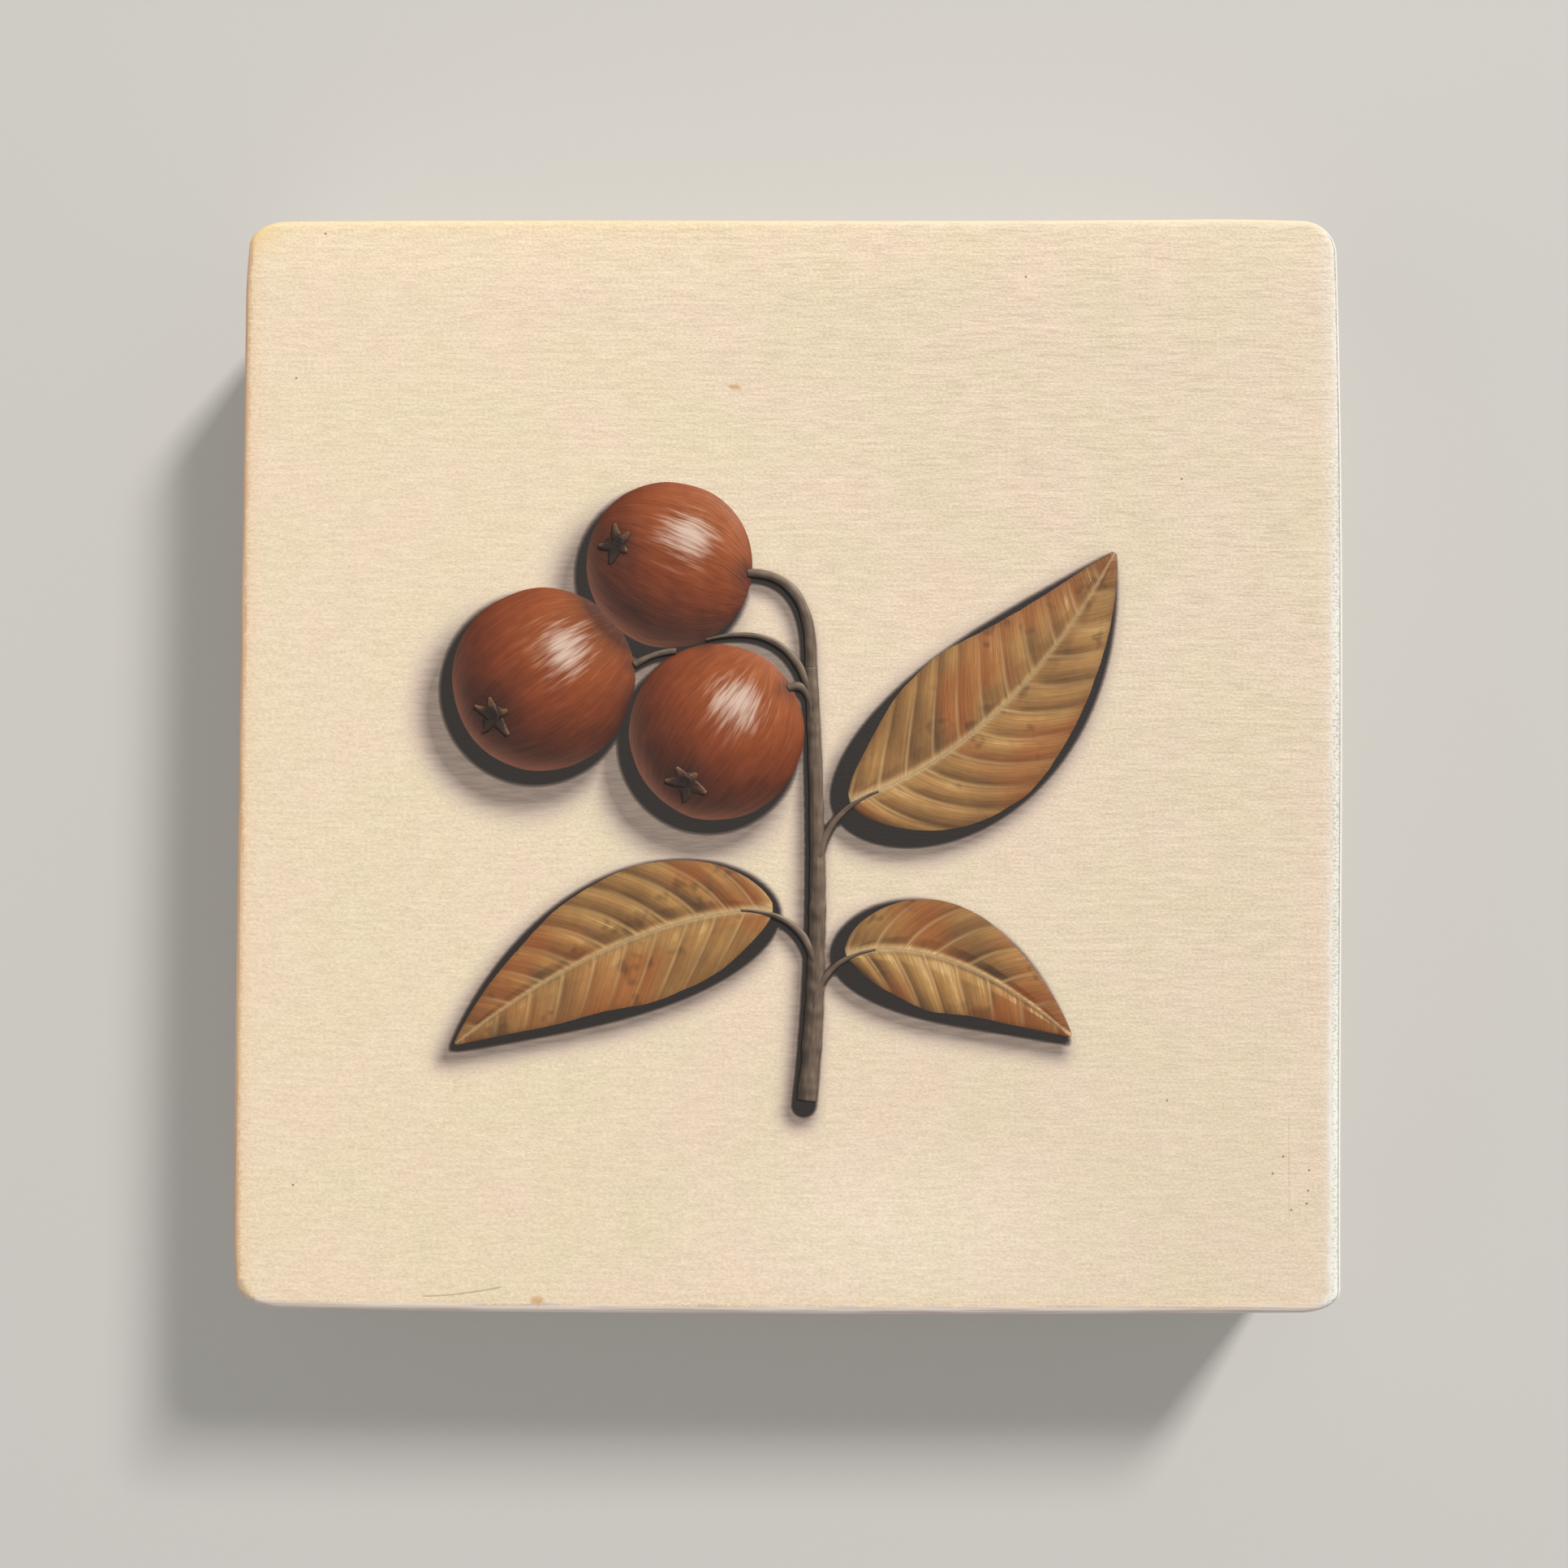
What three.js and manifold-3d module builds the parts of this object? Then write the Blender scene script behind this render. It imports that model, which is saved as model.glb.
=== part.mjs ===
// A small square painting panel, the kind that artists buy ready made: a thin plywood face board,
// glued on a shallow cradle of four wooden rails that meet in mitred corners.
// Millimetres, +Z up. The panel lies on its back. The rails' back edges are at Z 0, the face looks
// up, +Y is the top of the picture and the origin is the middle of the back.
import * as THREE from "three";
import { mergeVertices } from "three/addons/utils/BufferGeometryUtils.js";
import Module from "manifold-3d";

// Driving dimensions
const PANEL_SIDE = 101.6; // four inches, a stock size
const PANEL_DEPTH = 19; // from the back of the rails to the front of the face
const FACE_THICKNESS = 3; // three-ply birch
const RAIL_WIDTH = 10; // seen from the back
const CORNER_RADIUS = 3.5; // of the square's four corners, seen from the front
const FRONT_ROUNDING = 0.8; // sanded round the front edge of the face board
const CORNER_STEPS = 12; // flats in each quarter turn of a corner
const ROUNDING_STEPS = 4; // flats in the front edge's quarter round

const HALF_SIDE = PANEL_SIDE / 2;
const RAIL_HEIGHT = PANEL_DEPTH - FACE_THICKNESS;
const CORNER_CENTRE = HALF_SIDE - CORNER_RADIUS;
const HOLLOW_HALF = HALF_SIDE - RAIL_WIDTH;

// Finishes, as plain colours
const creamPaint = new THREE.MeshStandardMaterial({
  color: 0xecdabe,
  roughness: 0.75,
  metalness: 0,
});
const bareWood = new THREE.MeshStandardMaterial({
  color: 0xd9b98a,
  roughness: 0.8,
  metalness: 0,
});

const wasm = await Module();
wasm.setup();

// A closed three.js geometry as a manifold-3d solid
function solidFrom(geometry) {
  const bare = geometry.clone();
  bare.deleteAttribute("normal");
  bare.deleteAttribute("uv");
  const merged = mergeVertices(bare);
  return new wasm.Manifold(
    new wasm.Mesh({
      numProp: 3,
      vertProperties: merged.attributes.position.array,
      triVerts: new Uint32Array(merged.index.array),
    }),
  );
}

// A manifold-3d solid as a flat-shaded three.js geometry
function geometryFrom(solid) {
  const mesh = solid.getMesh();
  const geometry = new THREE.BufferGeometry();
  geometry.setAttribute("position", new THREE.BufferAttribute(mesh.vertProperties, 3));
  geometry.setIndex(new THREE.BufferAttribute(mesh.triVerts, 1));
  const flat = geometry.toNonIndexed();
  flat.computeVertexNormals();
  return flat;
}

// The panel's outline: a square with four round corners
function panelOutline() {
  const outline = new THREE.Shape();
  [0, 1, 2, 3].forEach((quarter) => {
    const start = (quarter * Math.PI) / 2;
    const right = quarter === 0 || quarter === 3;
    const top = quarter < 2;
    outline.absarc(
      right ? CORNER_CENTRE : -CORNER_CENTRE,
      top ? CORNER_CENTRE : -CORNER_CENTRE,
      CORNER_RADIUS,
      start,
      start + Math.PI / 2,
      false,
    );
  });
  outline.closePath();
  return outline;
}

// The face board. Its front edge is rounded over all the way round, and its back is cut flat.
// The extrusion is rounded at both ends and runs past the back, where the cut takes it off.
function faceBoard() {
  const spare = 1;
  const straight = FACE_THICKNESS - FRONT_ROUNDING + spare;
  const rounded = new THREE.ExtrudeGeometry(panelOutline(), {
    depth: straight,
    curveSegments: CORNER_STEPS,
    bevelEnabled: true,
    bevelThickness: FRONT_ROUNDING,
    bevelSize: FRONT_ROUNDING,
    bevelOffset: -FRONT_ROUNDING,
    bevelSegments: ROUNDING_STEPS,
  });
  rounded.translate(0, 0, -spare);
  const kept = new THREE.BoxGeometry(2 * PANEL_SIDE, 2 * PANEL_SIDE, 2 * FACE_THICKNESS);
  kept.translate(0, 0, FACE_THICKNESS);
  const board = solidFrom(rounded).intersect(solidFrom(kept));
  const mesh = new THREE.Mesh(geometryFrom(board), creamPaint);
  mesh.name = "face_board";
  mesh.position.z = RAIL_HEIGHT;
  return mesh;
}

// The top rail seen from the front. Each end is half of a round corner and a 45 degree mitre.
function railOutline() {
  const mitre = Math.PI / 4;
  const outline = new THREE.Shape();
  outline.moveTo(-HOLLOW_HALF, HOLLOW_HALF);
  outline.lineTo(HOLLOW_HALF, HOLLOW_HALF);
  outline.absarc(CORNER_CENTRE, CORNER_CENTRE, CORNER_RADIUS, mitre, 2 * mitre, false);
  outline.absarc(-CORNER_CENTRE, CORNER_CENTRE, CORNER_RADIUS, 2 * mitre, 3 * mitre, false);
  outline.closePath();
  return outline;
}

// One rail of the cradle: the top rail, turned by quarter turns into its place
function cradleRail(name, quarterTurns) {
  const bar = new THREE.ExtrudeGeometry(railOutline(), {
    depth: RAIL_HEIGHT,
    curveSegments: CORNER_STEPS / 2,
    bevelEnabled: false,
  });
  const mesh = new THREE.Mesh(bar, bareWood);
  mesh.name = name;
  mesh.rotation.z = (quarterTurns * Math.PI) / 2;
  return mesh;
}

// The cradle: four rails round a square hollow that is open at the back
function cradle() {
  const group = new THREE.Group();
  ["top_rail", "left_rail", "bottom_rail", "right_rail"].forEach((name, turns) => {
    group.add(cradleRail(name, turns));
  });
  return group;
}

const panel = new THREE.Group();
panel.name = "painting_panel";
panel.add(faceBoard());
panel.add(cradle());

export default panel;
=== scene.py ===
# %% [markdown]
# # A small painted wood panel
# Artists buy panels like this one ready made. A sheet of thin birch plywood is glued on a shallow
# cradle of four mitred rails, the edges are sanded round, and a cream ground is brushed over the
# face and down the sides. A small picture is painted on it, here a sprig of berries and leaves.
# The model that this script loads has the true sizes of the board and the rails. The script gives
# each of them a finer mesh and a finish, and adds what is only a coat on the real thing: the ground
# and the paint.

import math

import bmesh
import bpy
import numpy as np
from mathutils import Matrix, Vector, noise


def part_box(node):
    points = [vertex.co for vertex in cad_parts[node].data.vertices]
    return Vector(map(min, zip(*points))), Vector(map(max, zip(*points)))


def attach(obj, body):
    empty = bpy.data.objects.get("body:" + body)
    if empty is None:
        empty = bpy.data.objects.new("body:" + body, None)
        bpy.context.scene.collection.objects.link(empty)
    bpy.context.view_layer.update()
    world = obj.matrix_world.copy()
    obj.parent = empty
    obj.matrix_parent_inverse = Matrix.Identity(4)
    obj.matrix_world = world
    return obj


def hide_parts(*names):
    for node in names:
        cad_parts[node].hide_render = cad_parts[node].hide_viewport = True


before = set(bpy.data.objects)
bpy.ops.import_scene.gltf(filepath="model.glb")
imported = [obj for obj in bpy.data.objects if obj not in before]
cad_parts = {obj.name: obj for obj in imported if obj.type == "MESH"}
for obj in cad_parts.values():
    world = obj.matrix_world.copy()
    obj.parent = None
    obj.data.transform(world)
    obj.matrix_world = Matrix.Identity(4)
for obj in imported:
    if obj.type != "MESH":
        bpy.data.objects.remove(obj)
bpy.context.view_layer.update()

# %% [markdown]
# ## Measures
# Everything below is written in millimetres, because a panel maker thinks in them, and turned into
# Blender's metres when a mesh is made. The main sizes are read from the model, so that nothing has
# to be fitted to it afterwards.

# %% Read the main sizes
MM = 0.001
board_low, board_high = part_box("face_board")
rail_low, rail_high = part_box("top_rail")
HALF = board_high.x / MM
FACE = board_high.z / MM
BOARD_BACK = board_low.z / MM
RAIL_WIDTH = (rail_high.y - rail_low.y) / MM
FRONT_ROUNDING = 0.8
print(f"panel {2 * HALF:.1f} mm square, {FACE:.1f} mm deep, rails {RAIL_WIDTH:.1f} mm wide")

# %% [markdown]
# ## The camera
# The photograph looks straight down on the panel from close above it. A lens and a place were
# fitted to the four edges of the panel in it. They put the camera about 180 mm over the face, a
# little nearer to the bottom edge, which is why that edge looks longer than the top one.

# %% Place the camera
PHOTO_PIXELS = 1932
FOCAL_PIXELS = 2400
CAMERA_PLACE = (1.96, -6.79, 197.77)
CAMERA_TURN = (1.54, 0.74, 0.237)
camera_data = bpy.data.cameras.new("photo_camera")
camera_data.sensor_width = 36
camera_data.lens = camera_data.sensor_width * FOCAL_PIXELS / PHOTO_PIXELS
camera_data.clip_start = 0.01
camera = bpy.data.objects.new("photo_camera", camera_data)
camera.location = Vector(CAMERA_PLACE) * MM
camera.rotation_euler = [math.radians(turn) for turn in CAMERA_TURN]
bpy.context.scene.collection.objects.link(camera)
bpy.context.scene.camera = camera
print(f"camera lens {camera_data.lens:.1f} mm")

# %% [markdown]
# ## Light
# One soft window-like light comes from the upper right, about 40 degrees above the table. It gives
# the broad shadow to the lower left. The rest of the light comes evenly from all round, so that the
# shadow stays open. A larger, weaker light from the left keeps the side faces readable.
# Colours are shown as they are, with no film look, so that a paint's colour can be judged.

# %% Light the panel
SUN_SIDE = Vector((13.7, 18.7, 19.0)).normalized()
ROOM_SIDE = Vector((-0.8, -0.25, 0.75)).normalized()
EVEN_LIGHT, EVEN_STRENGTH = (1.0, 0.985, 0.97, 1), 0.42


def soft_light(name, towards, distance, size, watts, colour):
    """A rectangular lamp on one side of the panel, facing its middle."""
    lamp_data = bpy.data.lights.new(name, "AREA")
    lamp_data.shape = "RECTANGLE"
    lamp_data.size, lamp_data.size_y = size
    lamp_data.energy = watts
    lamp_data.color = colour
    lamp = bpy.data.objects.new(name, lamp_data)
    lamp.location = towards * distance
    lamp.rotation_euler = towards.to_track_quat("Z", "Y").to_euler()
    bpy.context.scene.collection.objects.link(lamp)


soft_light("window", SUN_SIDE, distance=2.2, size=(0.29, 0.48), watts=38.6, colour=(1.0, 0.97, 0.93))
soft_light("room", ROOM_SIDE, distance=1.4, size=(1.2, 1.2), watts=2.2, colour=(1.0, 0.93, 0.86))
world = bpy.data.worlds.new("even_light")
world.use_nodes = True
background = world.node_tree.nodes["Background"]
background.inputs["Color"].default_value = EVEN_LIGHT
background.inputs["Strength"].default_value = EVEN_STRENGTH
bpy.context.scene.world = world
bpy.context.scene.view_settings.view_transform = "Standard"

# %% [markdown]
# ## Helpers for shader trees
# A finish is a tree of small nodes. These few helpers keep each tree short enough to read: one
# puts a node in and connects it, the others name the steps that come back again and again.


# %% Write the shader helpers
def put(tree, kind, inputs=None, **settings):
    """Puts a node into a tree, sets its options, and sets or links the inputs that are named."""
    node = tree.nodes.new("ShaderNode" + kind)
    for name, value in settings.items():
        setattr(node, name, value)
    for key, value in (inputs or {}).items():
        if isinstance(value, bpy.types.NodeSocket):
            tree.links.new(value, node.inputs[key])
        else:
            node.inputs[key].default_value = value
    return node


def calc(tree, operation, *numbers):
    """One step of arithmetic on numbers that change over the surface."""
    return put(tree, "Math", dict(enumerate(numbers)), operation=operation).outputs[0]


def rise(tree, value, low, high):
    """0 below low, 1 above high, and a smooth rise between."""
    inputs = {"Value": value, "From Min": low, "From Max": high}
    return put(tree, "MapRange", inputs, interpolation_type="SMOOTHSTEP").outputs["Result"]


def mix(tree, amount, first, second, way="MIX"):
    """One colour laid over another by an amount from 0 to 1."""
    inputs = {0: amount, 6: first, 7: second}
    return put(tree, "Mix", inputs, data_type="RGBA", blend_type=way).outputs[2]


def mix_numbers(tree, amount, first, second):
    """A number that goes from the first to the second."""
    return put(tree, "Mix", {0: amount, 2: first, 3: second}, data_type="FLOAT").outputs[0]


def tint(tree, mask, amount, colour, over):
    """A second colour laid over the first where a mask is 1, as strongly as the amount says."""
    return mix(tree, calc(tree, "MULTIPLY", mask, amount), colour, over)


def add_up(tree, *parts):
    """The sum of several numbers, each by its own weight."""
    total = 0.0
    for number, weight in parts:
        total = calc(tree, "MULTIPLY_ADD", number, weight, total)
    return total


def axis_of(tree, place, axis):
    """One axis of a place: X to the right, Y up the picture and Z out of the face."""
    return put(tree, "SeparateXYZ", {0: place}).outputs[axis]


def paint(red, green, blue):
    """A colour as it reads on a screen, 0 to 255, turned into the light that Blender reckons in."""
    return [linear(channel / 255) for channel in (red, green, blue)] + [1.0]


def linear(channel):
    """The screen's curve for one channel, taken off."""
    return channel / 12.92 if channel <= 0.04045 else ((channel + 0.055) / 1.055) ** 2.4


# %% [markdown]
# ## Node groups
# Brush marks, wood figure, patches of tone and small spots come back in several finishes. Each is
# made once as a node group with named inputs, and every finish places it with its own numbers.
# A group works in millimetres on the place that it is given, so the marks keep their real size.

# %% Start a node group
VECTOR, NUMBER = "NodeSocketVector", "NodeSocketFloat"


def new_group(name, inputs, outputs):
    """An empty group with named sockets: its tree, what comes in, and the node for what goes out."""
    tree = bpy.data.node_groups.new(name, "ShaderNodeTree")
    for label, kind in inputs.items():
        tree.interface.new_socket(label, in_out="INPUT", socket_type=kind)
    for label, kind in outputs.items():
        tree.interface.new_socket(label, in_out="OUTPUT", socket_type=kind)
    return tree, tree.nodes.new("NodeGroupInput").outputs, tree.nodes.new("NodeGroupOutput").inputs


def use_group(tree, group, inputs):
    """Places a group in a tree and gives its outputs."""
    return put(tree, "Group", inputs, node_tree=group).outputs


def place_in_mm(tree):
    """The place on the panel in millimetres, from the object's own coordinates."""
    here = put(tree, "TexCoord").outputs["Object"]
    return put(tree, "VectorMath", {0: here, "Scale": 1 / MM}, operation="SCALE").outputs[0]


# %% [markdown]
# Brush marks are thin ridges. Noise that is stretched along the stroke gives them: one value for
# how long a ridge is and one for the gap between ridges. A slow second noise lets the strokes
# wander a little to the side, because no hand draws them straight.

# %% Group: brush marks
group, given, result = new_group(
    "brush_marks", {"Place": VECTOR, "Length": NUMBER, "Pitch": NUMBER, "Wander": NUMBER}, {"Marks": NUMBER}
)
slow = put(group, "TexNoise", {"Vector": given["Place"], "Scale": 0.07, "Detail": 1.0})
bend = calc(group, "MULTIPLY", calc(group, "SUBTRACT", slow.outputs[0], 0.5), given["Wander"])
bent = put(group, "CombineXYZ", {"Y": bend})
moved = put(group, "VectorMath", {0: given["Place"], 1: bent.outputs[0]}, operation="ADD")
stretch = put(
    group, "CombineXYZ", {"X": given["Length"], "Y": given["Pitch"], "Z": given["Pitch"]}
)
stretched = put(group, "VectorMath", {0: moved.outputs[0], 1: stretch.outputs[0]}, operation="DIVIDE")
ridges = put(group, "TexNoise", {"Vector": stretched.outputs[0], "Scale": 1.0, "Detail": 2.0})
group.links.new(rise(group, ridges.outputs[0], 0.28, 0.72), result["Marks"])
brush_marks = group


def marks(tree, place, length, pitch, wander=0.0):
    """Brush marks at a place, as a number from 0 in the hollows to 1 on the ridges."""
    inputs = {"Place": place, "Length": length, "Pitch": pitch, "Wander": wander}
    return use_group(tree, brush_marks, inputs)["Marks"]


# %% [markdown]
# Patches are slow changes of tone, where a coat is thinner or a pigment wasn't quite stirred in.

# %% Group: patches
group, given, result = new_group("patches", {"Place": VECTOR, "Size": NUMBER}, {"Patch": NUMBER})
scale = calc(group, "DIVIDE", 1.0, given["Size"])
cloud = put(group, "TexNoise", {"Vector": given["Place"], "Scale": scale, "Detail": 2.0})
group.links.new(rise(group, cloud.outputs[0], 0.35, 0.65), result["Patch"])
patches = group

# %% [markdown]
# A spot is an oval with a ragged rim, for a pin knot, a stain or a touch of wear. The place is
# measured from the spot's middle in half widths, and noise is added before the rim is cut.

# %% Group: spot
group, given, result = new_group(
    "spot",
    {"Place": VECTOR, "Middle": VECTOR, "Half Size": VECTOR, "Ragged": NUMBER, "Soft": NUMBER},
    {"Spot": NUMBER},
)
offset = put(group, "VectorMath", {0: given["Place"], 1: given["Middle"]}, operation="SUBTRACT")
shares = put(group, "VectorMath", {0: offset.outputs[0], 1: given["Half Size"]}, operation="DIVIDE")
reach = put(group, "VectorMath", {0: shares.outputs[0]}, operation="LENGTH").outputs["Value"]
grit = put(group, "TexNoise", {"Vector": given["Place"], "Scale": 2.2, "Detail": 3.0})
rough = calc(group, "MULTIPLY", calc(group, "SUBTRACT", grit.outputs[0], 0.5), given["Ragged"])
reach = calc(group, "ADD", reach, rough)
inner = calc(group, "SUBTRACT", 1.0, given["Soft"])
group.links.new(calc(group, "SUBTRACT", 1.0, rise(group, reach, inner, 1.0)), result["Spot"])
spot = group

# %% [markdown]
# Wood shows two things at this scale: broad bands where the knife or saw crossed the yearly rings,
# and fine fibres along the grain with short dark pores among them. Bands come from slow noise cut
# into many levels, as height lines on a map, and fibres from noise that is stretched very long.

# %% Group: wood figure
BAND_LENGTH = 60.0
FIBRE_SIZE, PORE_SIZE = (9.0, 0.22, 0.22), (1.6, 0.16, 0.16)
group, given, result = new_group(
    "wood_figure",
    {"Place": VECTOR, "Band Width": NUMBER, "Bands": NUMBER},
    {"Figure": NUMBER, "Fibres": NUMBER, "Pores": NUMBER},
)
wide = put(group, "CombineXYZ", {"X": BAND_LENGTH, "Y": given["Band Width"], "Z": given["Band Width"]})
flowing = put(group, "VectorMath", {0: given["Place"], 1: wide.outputs[0]}, operation="DIVIDE")
hills = put(group, "TexNoise", {"Vector": flowing.outputs[0], "Scale": 1.0, "Detail": 1.0})
levels = calc(group, "MULTIPLY", hills.outputs[0], given["Bands"])
wave = calc(group, "SINE", calc(group, "MULTIPLY", levels, 2 * math.pi))
group.links.new(rise(group, wave, -1.0, 1.0), result["Figure"])
fine = put(group, "VectorMath", {0: given["Place"], 1: FIBRE_SIZE}, operation="DIVIDE")
fibres = put(group, "TexNoise", {"Vector": fine.outputs[0], "Scale": 1.0, "Detail": 3.0})
group.links.new(rise(group, fibres.outputs[0], 0.3, 0.7), result["Fibres"])
short = put(group, "VectorMath", {0: given["Place"], 1: PORE_SIZE}, operation="DIVIDE")
dots = put(group, "TexNoise", {"Vector": short.outputs[0], "Scale": 1.0, "Detail": 1.0})
group.links.new(rise(group, dots.outputs[0], 0.66, 0.76), result["Pores"])
wood_figure = group

# %% [markdown]
# The last group tells a finish which side of the panel it is near, with a soft change round each
# corner, and gives a place for strokes that run along that side. A ground like this is brushed
# across the face first, and then along each side.

# %% Group: panel edge
SIDES = ("Right", "Left", "Top", "Bottom")
group, given, result = new_group(
    "panel_edge", {"Place": VECTOR, "Soft": NUMBER}, dict.fromkeys(SIDES, NUMBER) | {"Along Edge": VECTOR}
)
axes = put(group, "SeparateXYZ", {0: given["Place"]}).outputs
across, upward = calc(group, "ABSOLUTE", axes["X"]), calc(group, "ABSOLUTE", axes["Y"])
ahead = calc(group, "SUBTRACT", across, upward)
beside = rise(group, ahead, calc(group, "MULTIPLY", given["Soft"], -1.0), given["Soft"])
facing = calc(group, "SUBTRACT", 1.0, beside)
rightward, upper = calc(group, "GREATER_THAN", axes["X"], 0.0), calc(group, "GREATER_THAN", axes["Y"], 0.0)
right_part, top_part = calc(group, "MULTIPLY", beside, rightward), calc(group, "MULTIPLY", facing, upper)
group.links.new(right_part, result["Right"])
group.links.new(calc(group, "SUBTRACT", beside, right_part), result["Left"])
group.links.new(top_part, result["Top"])
group.links.new(calc(group, "SUBTRACT", facing, top_part), result["Bottom"])
along_level = put(group, "CombineXYZ", {"X": axes["X"], "Y": axes["Z"], "Z": axes["Y"]})
along_upright = put(group, "CombineXYZ", {"X": axes["Y"], "Y": axes["Z"], "Z": axes["X"]})
nearer = calc(group, "GREATER_THAN", ahead, 0.0)
either = put(
    group, "Mix", {0: nearer, 4: along_level.outputs[0], 5: along_upright.outputs[0]}, data_type="VECTOR"
)
group.links.new(either.outputs[1], result["Along Edge"])
panel_edge = group
print(f"{len(bpy.data.node_groups)} node groups")

# %% [markdown]
# ## The cream ground
# The face isn't one flat colour. Under the cream lies a whiter primer, which shows where the face
# turns over to the sides: nearly white on the right, with a painted highlight along its very edge,
# greyed by painted shade on the bottom, and tan on the left from a painted warm reflection.
# Further down, the sides have one even ivory coat. The cream was dabbed on at the lower left and
# drawn out level towards the upper right, so it has a fine grit with short ridges, with painted
# light on their tops and painted shade in their hollows, and it dried a little pinker here and a
# little greener there. Small things make it a real board: two pin knots that have bled through, a
# curved hairline crack near the lower edge, a faint scored line with dark specks beside it and a
# yellowed corner. Painted shade darkens the rounding of the lower left corner.

# %% Find places on the face
PHOTO_MIDDLE = PHOTO_PIXELS / 2
camera_axes = camera.rotation_euler.to_matrix()


def on_panel(pixel_x, pixel_y):
    """A pixel of the 1932 pixel photograph as a place on the panel's face, in millimetres."""
    right, up = (pixel_x - PHOTO_MIDDLE) / FOCAL_PIXELS, (PHOTO_MIDDLE - pixel_y) / FOCAL_PIXELS
    ray = camera_axes @ Vector((right, up, -1.0))
    reach = (FACE - CAMERA_PLACE[2]) / ray.z
    return CAMERA_PLACE[0] + reach * ray.x, CAMERA_PLACE[1] + reach * ray.y


PIN_KNOT, EDGE_KNOT = on_panel(906, 477), on_panel(662, 1603)
CRACK_START, CRACK_END = on_panel(521, 1597), on_panel(617, 1586)
SCORE_TOP, SCORE_FOOT = on_panel(1588, 1372), on_panel(1588, 1506)
# Points along the lower left corner, where painted shade darkens the rounding.
LOWER_LEFT_SHADE = [on_panel(x, y) for x, y in ((297, 1579), (299, 1585), (302, 1591), (306, 1596), (311, 1601))]
PALER_PATCH = on_panel(1110, 1520)
SPECKS = [
    on_panel(x, y)
    for x, y in (
        (1568, 1446), (1581, 1425), (1613, 1442), (1612, 1467), (1610, 1483), (1591, 1491),
        (1438, 1356), (1456, 590), (1264, 341), (401, 288), (365, 466), (361, 1460),
    )
]
print(f"pin knot at {PIN_KNOT[0]:.1f}, {PIN_KNOT[1]:.1f} mm, {len(SPECKS)} specks")

# %% [markdown]
# Most of these colours are laid on by a mask. The last five multiply the cream that is there, so
# that a place becomes a little darker or paler and keeps its drifts: painted shade towards the
# right, painted light near the top, a paler patch, and painted shade in the hollows and painted
# light on the ridges of the brush marks.

# %% Name the ground's colours
CREAM_PINK, CREAM_GREEN = paint(245, 225, 199), paint(242, 226, 195)
STRIP_WIDTH = {"Right": 1.2, "Left": 0.6, "Top": 0.3, "Bottom": 0.9}
# Per side, the strip is greyed by painted shade on the bottom and tinted tan by a painted warm reflection
# on the left.
STRIP_LIGHT = {
    "Right": paint(246, 243, 234), "Left": paint(236, 198, 160),
    "Top": paint(246, 222, 180), "Bottom": paint(235, 223, 212),
}
STRIP_DARK = {
    "Right": paint(222, 216, 204), "Left": paint(220, 178, 136),
    "Top": paint(238, 212, 166), "Bottom": paint(207, 191, 180),
}
NEAR_EDGE = {
    "Right": paint(243, 233, 220), "Left": paint(244, 216, 182),
    "Top": paint(250, 228, 190), "Bottom": paint(244, 222, 188),
}
# The primer white also gives the painted highlight along the very edge of the right side.
PRIMER_WHITE_AND_HIGHLIGHT, YELLOWED, KNOT_TAN = paint(250, 251, 244), paint(244, 214, 158), paint(205, 160, 110)
# The olive is painted shade on the rounding of the lower left corner.
SHADE_OLIVE, TOP_PLAIN = paint(168, 150, 112), paint(241, 225, 198)
SIDE_LIGHT, SIDE_DARK = paint(241, 233, 219), paint(226, 216, 199)
SPECK_BROWN, LINE_BROWN, LINE_GREY = paint(96, 84, 68), paint(176, 154, 126), paint(150, 152, 138)
PAINTED_SHADE_TOWARDS_RIGHT, PAINTED_LIGHT_NEAR_TOP = [0.918, 0.918, 0.95, 1.0], [1.055, 1.045, 1.035, 1.0]
PALER_CREAM = [1.07, 1.085, 1.13, 1.0]
PAINTED_SHADE_IN_HOLLOWS, PAINTED_LIGHT_ON_RIDGES = [0.82, 0.805, 0.775, 1.0], [1.12, 1.13, 1.15, 1.0]


# %% Helpers for the ground
OVAL_DEPTH = 4.0


def oval(tree, place, middle, half_size, ragged=0.8, soft=0.7):
    """The spot group at a place on the face, as high as the panel so that the side is marked too."""
    inputs = {
        "Place": place,
        "Middle": (middle[0], middle[1], FACE),
        "Half Size": (half_size[0], half_size[1], OVAL_DEPTH),
        "Ragged": ragged,
        "Soft": soft,
    }
    return use_group(tree, spot, inputs)["Spot"]


def between(tree, value, low, high, soft):
    """1 between two numbers, with a soft end at each."""
    start = rise(tree, value, low - soft, low + soft)
    stop = rise(tree, value, high - soft, high + soft)
    return calc(tree, "SUBTRACT", start, stop)


def number_by_side(tree, edge, numbers):
    """One number for each side of the panel, blended round the corners."""
    return add_up(tree, *((edge[side], number) for side, number in numbers.items()))


def colour_by_side(tree, edge, colours):
    """One colour for each side of the panel, blended round the corners."""
    total = [0.0, 0.0, 0.0, 1.0]
    for side, colour in colours.items():
        total = mix(tree, edge[side], total, colour, way="ADD")
    return total


# %% Mix the cream ground
CORNER_SOFTNESS = 1.2
GROUND_BUMP = 0.022


def new_material(name):
    """An empty finish: its tree, its shader node and the material itself."""
    material = bpy.data.materials.new(name)
    material.use_nodes = True
    return material, material.node_tree, material.node_tree.nodes["Principled BSDF"]


def raise_bumps(tree, shader, height, depth):
    """Lets a height from 0 to 1 stand out of the surface by a depth in millimetres."""
    bump = put(tree, "Bump", {"Height": height, "Distance": depth * MM})
    tree.links.new(bump.outputs["Normal"], shader.inputs["Normal"])


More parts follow.
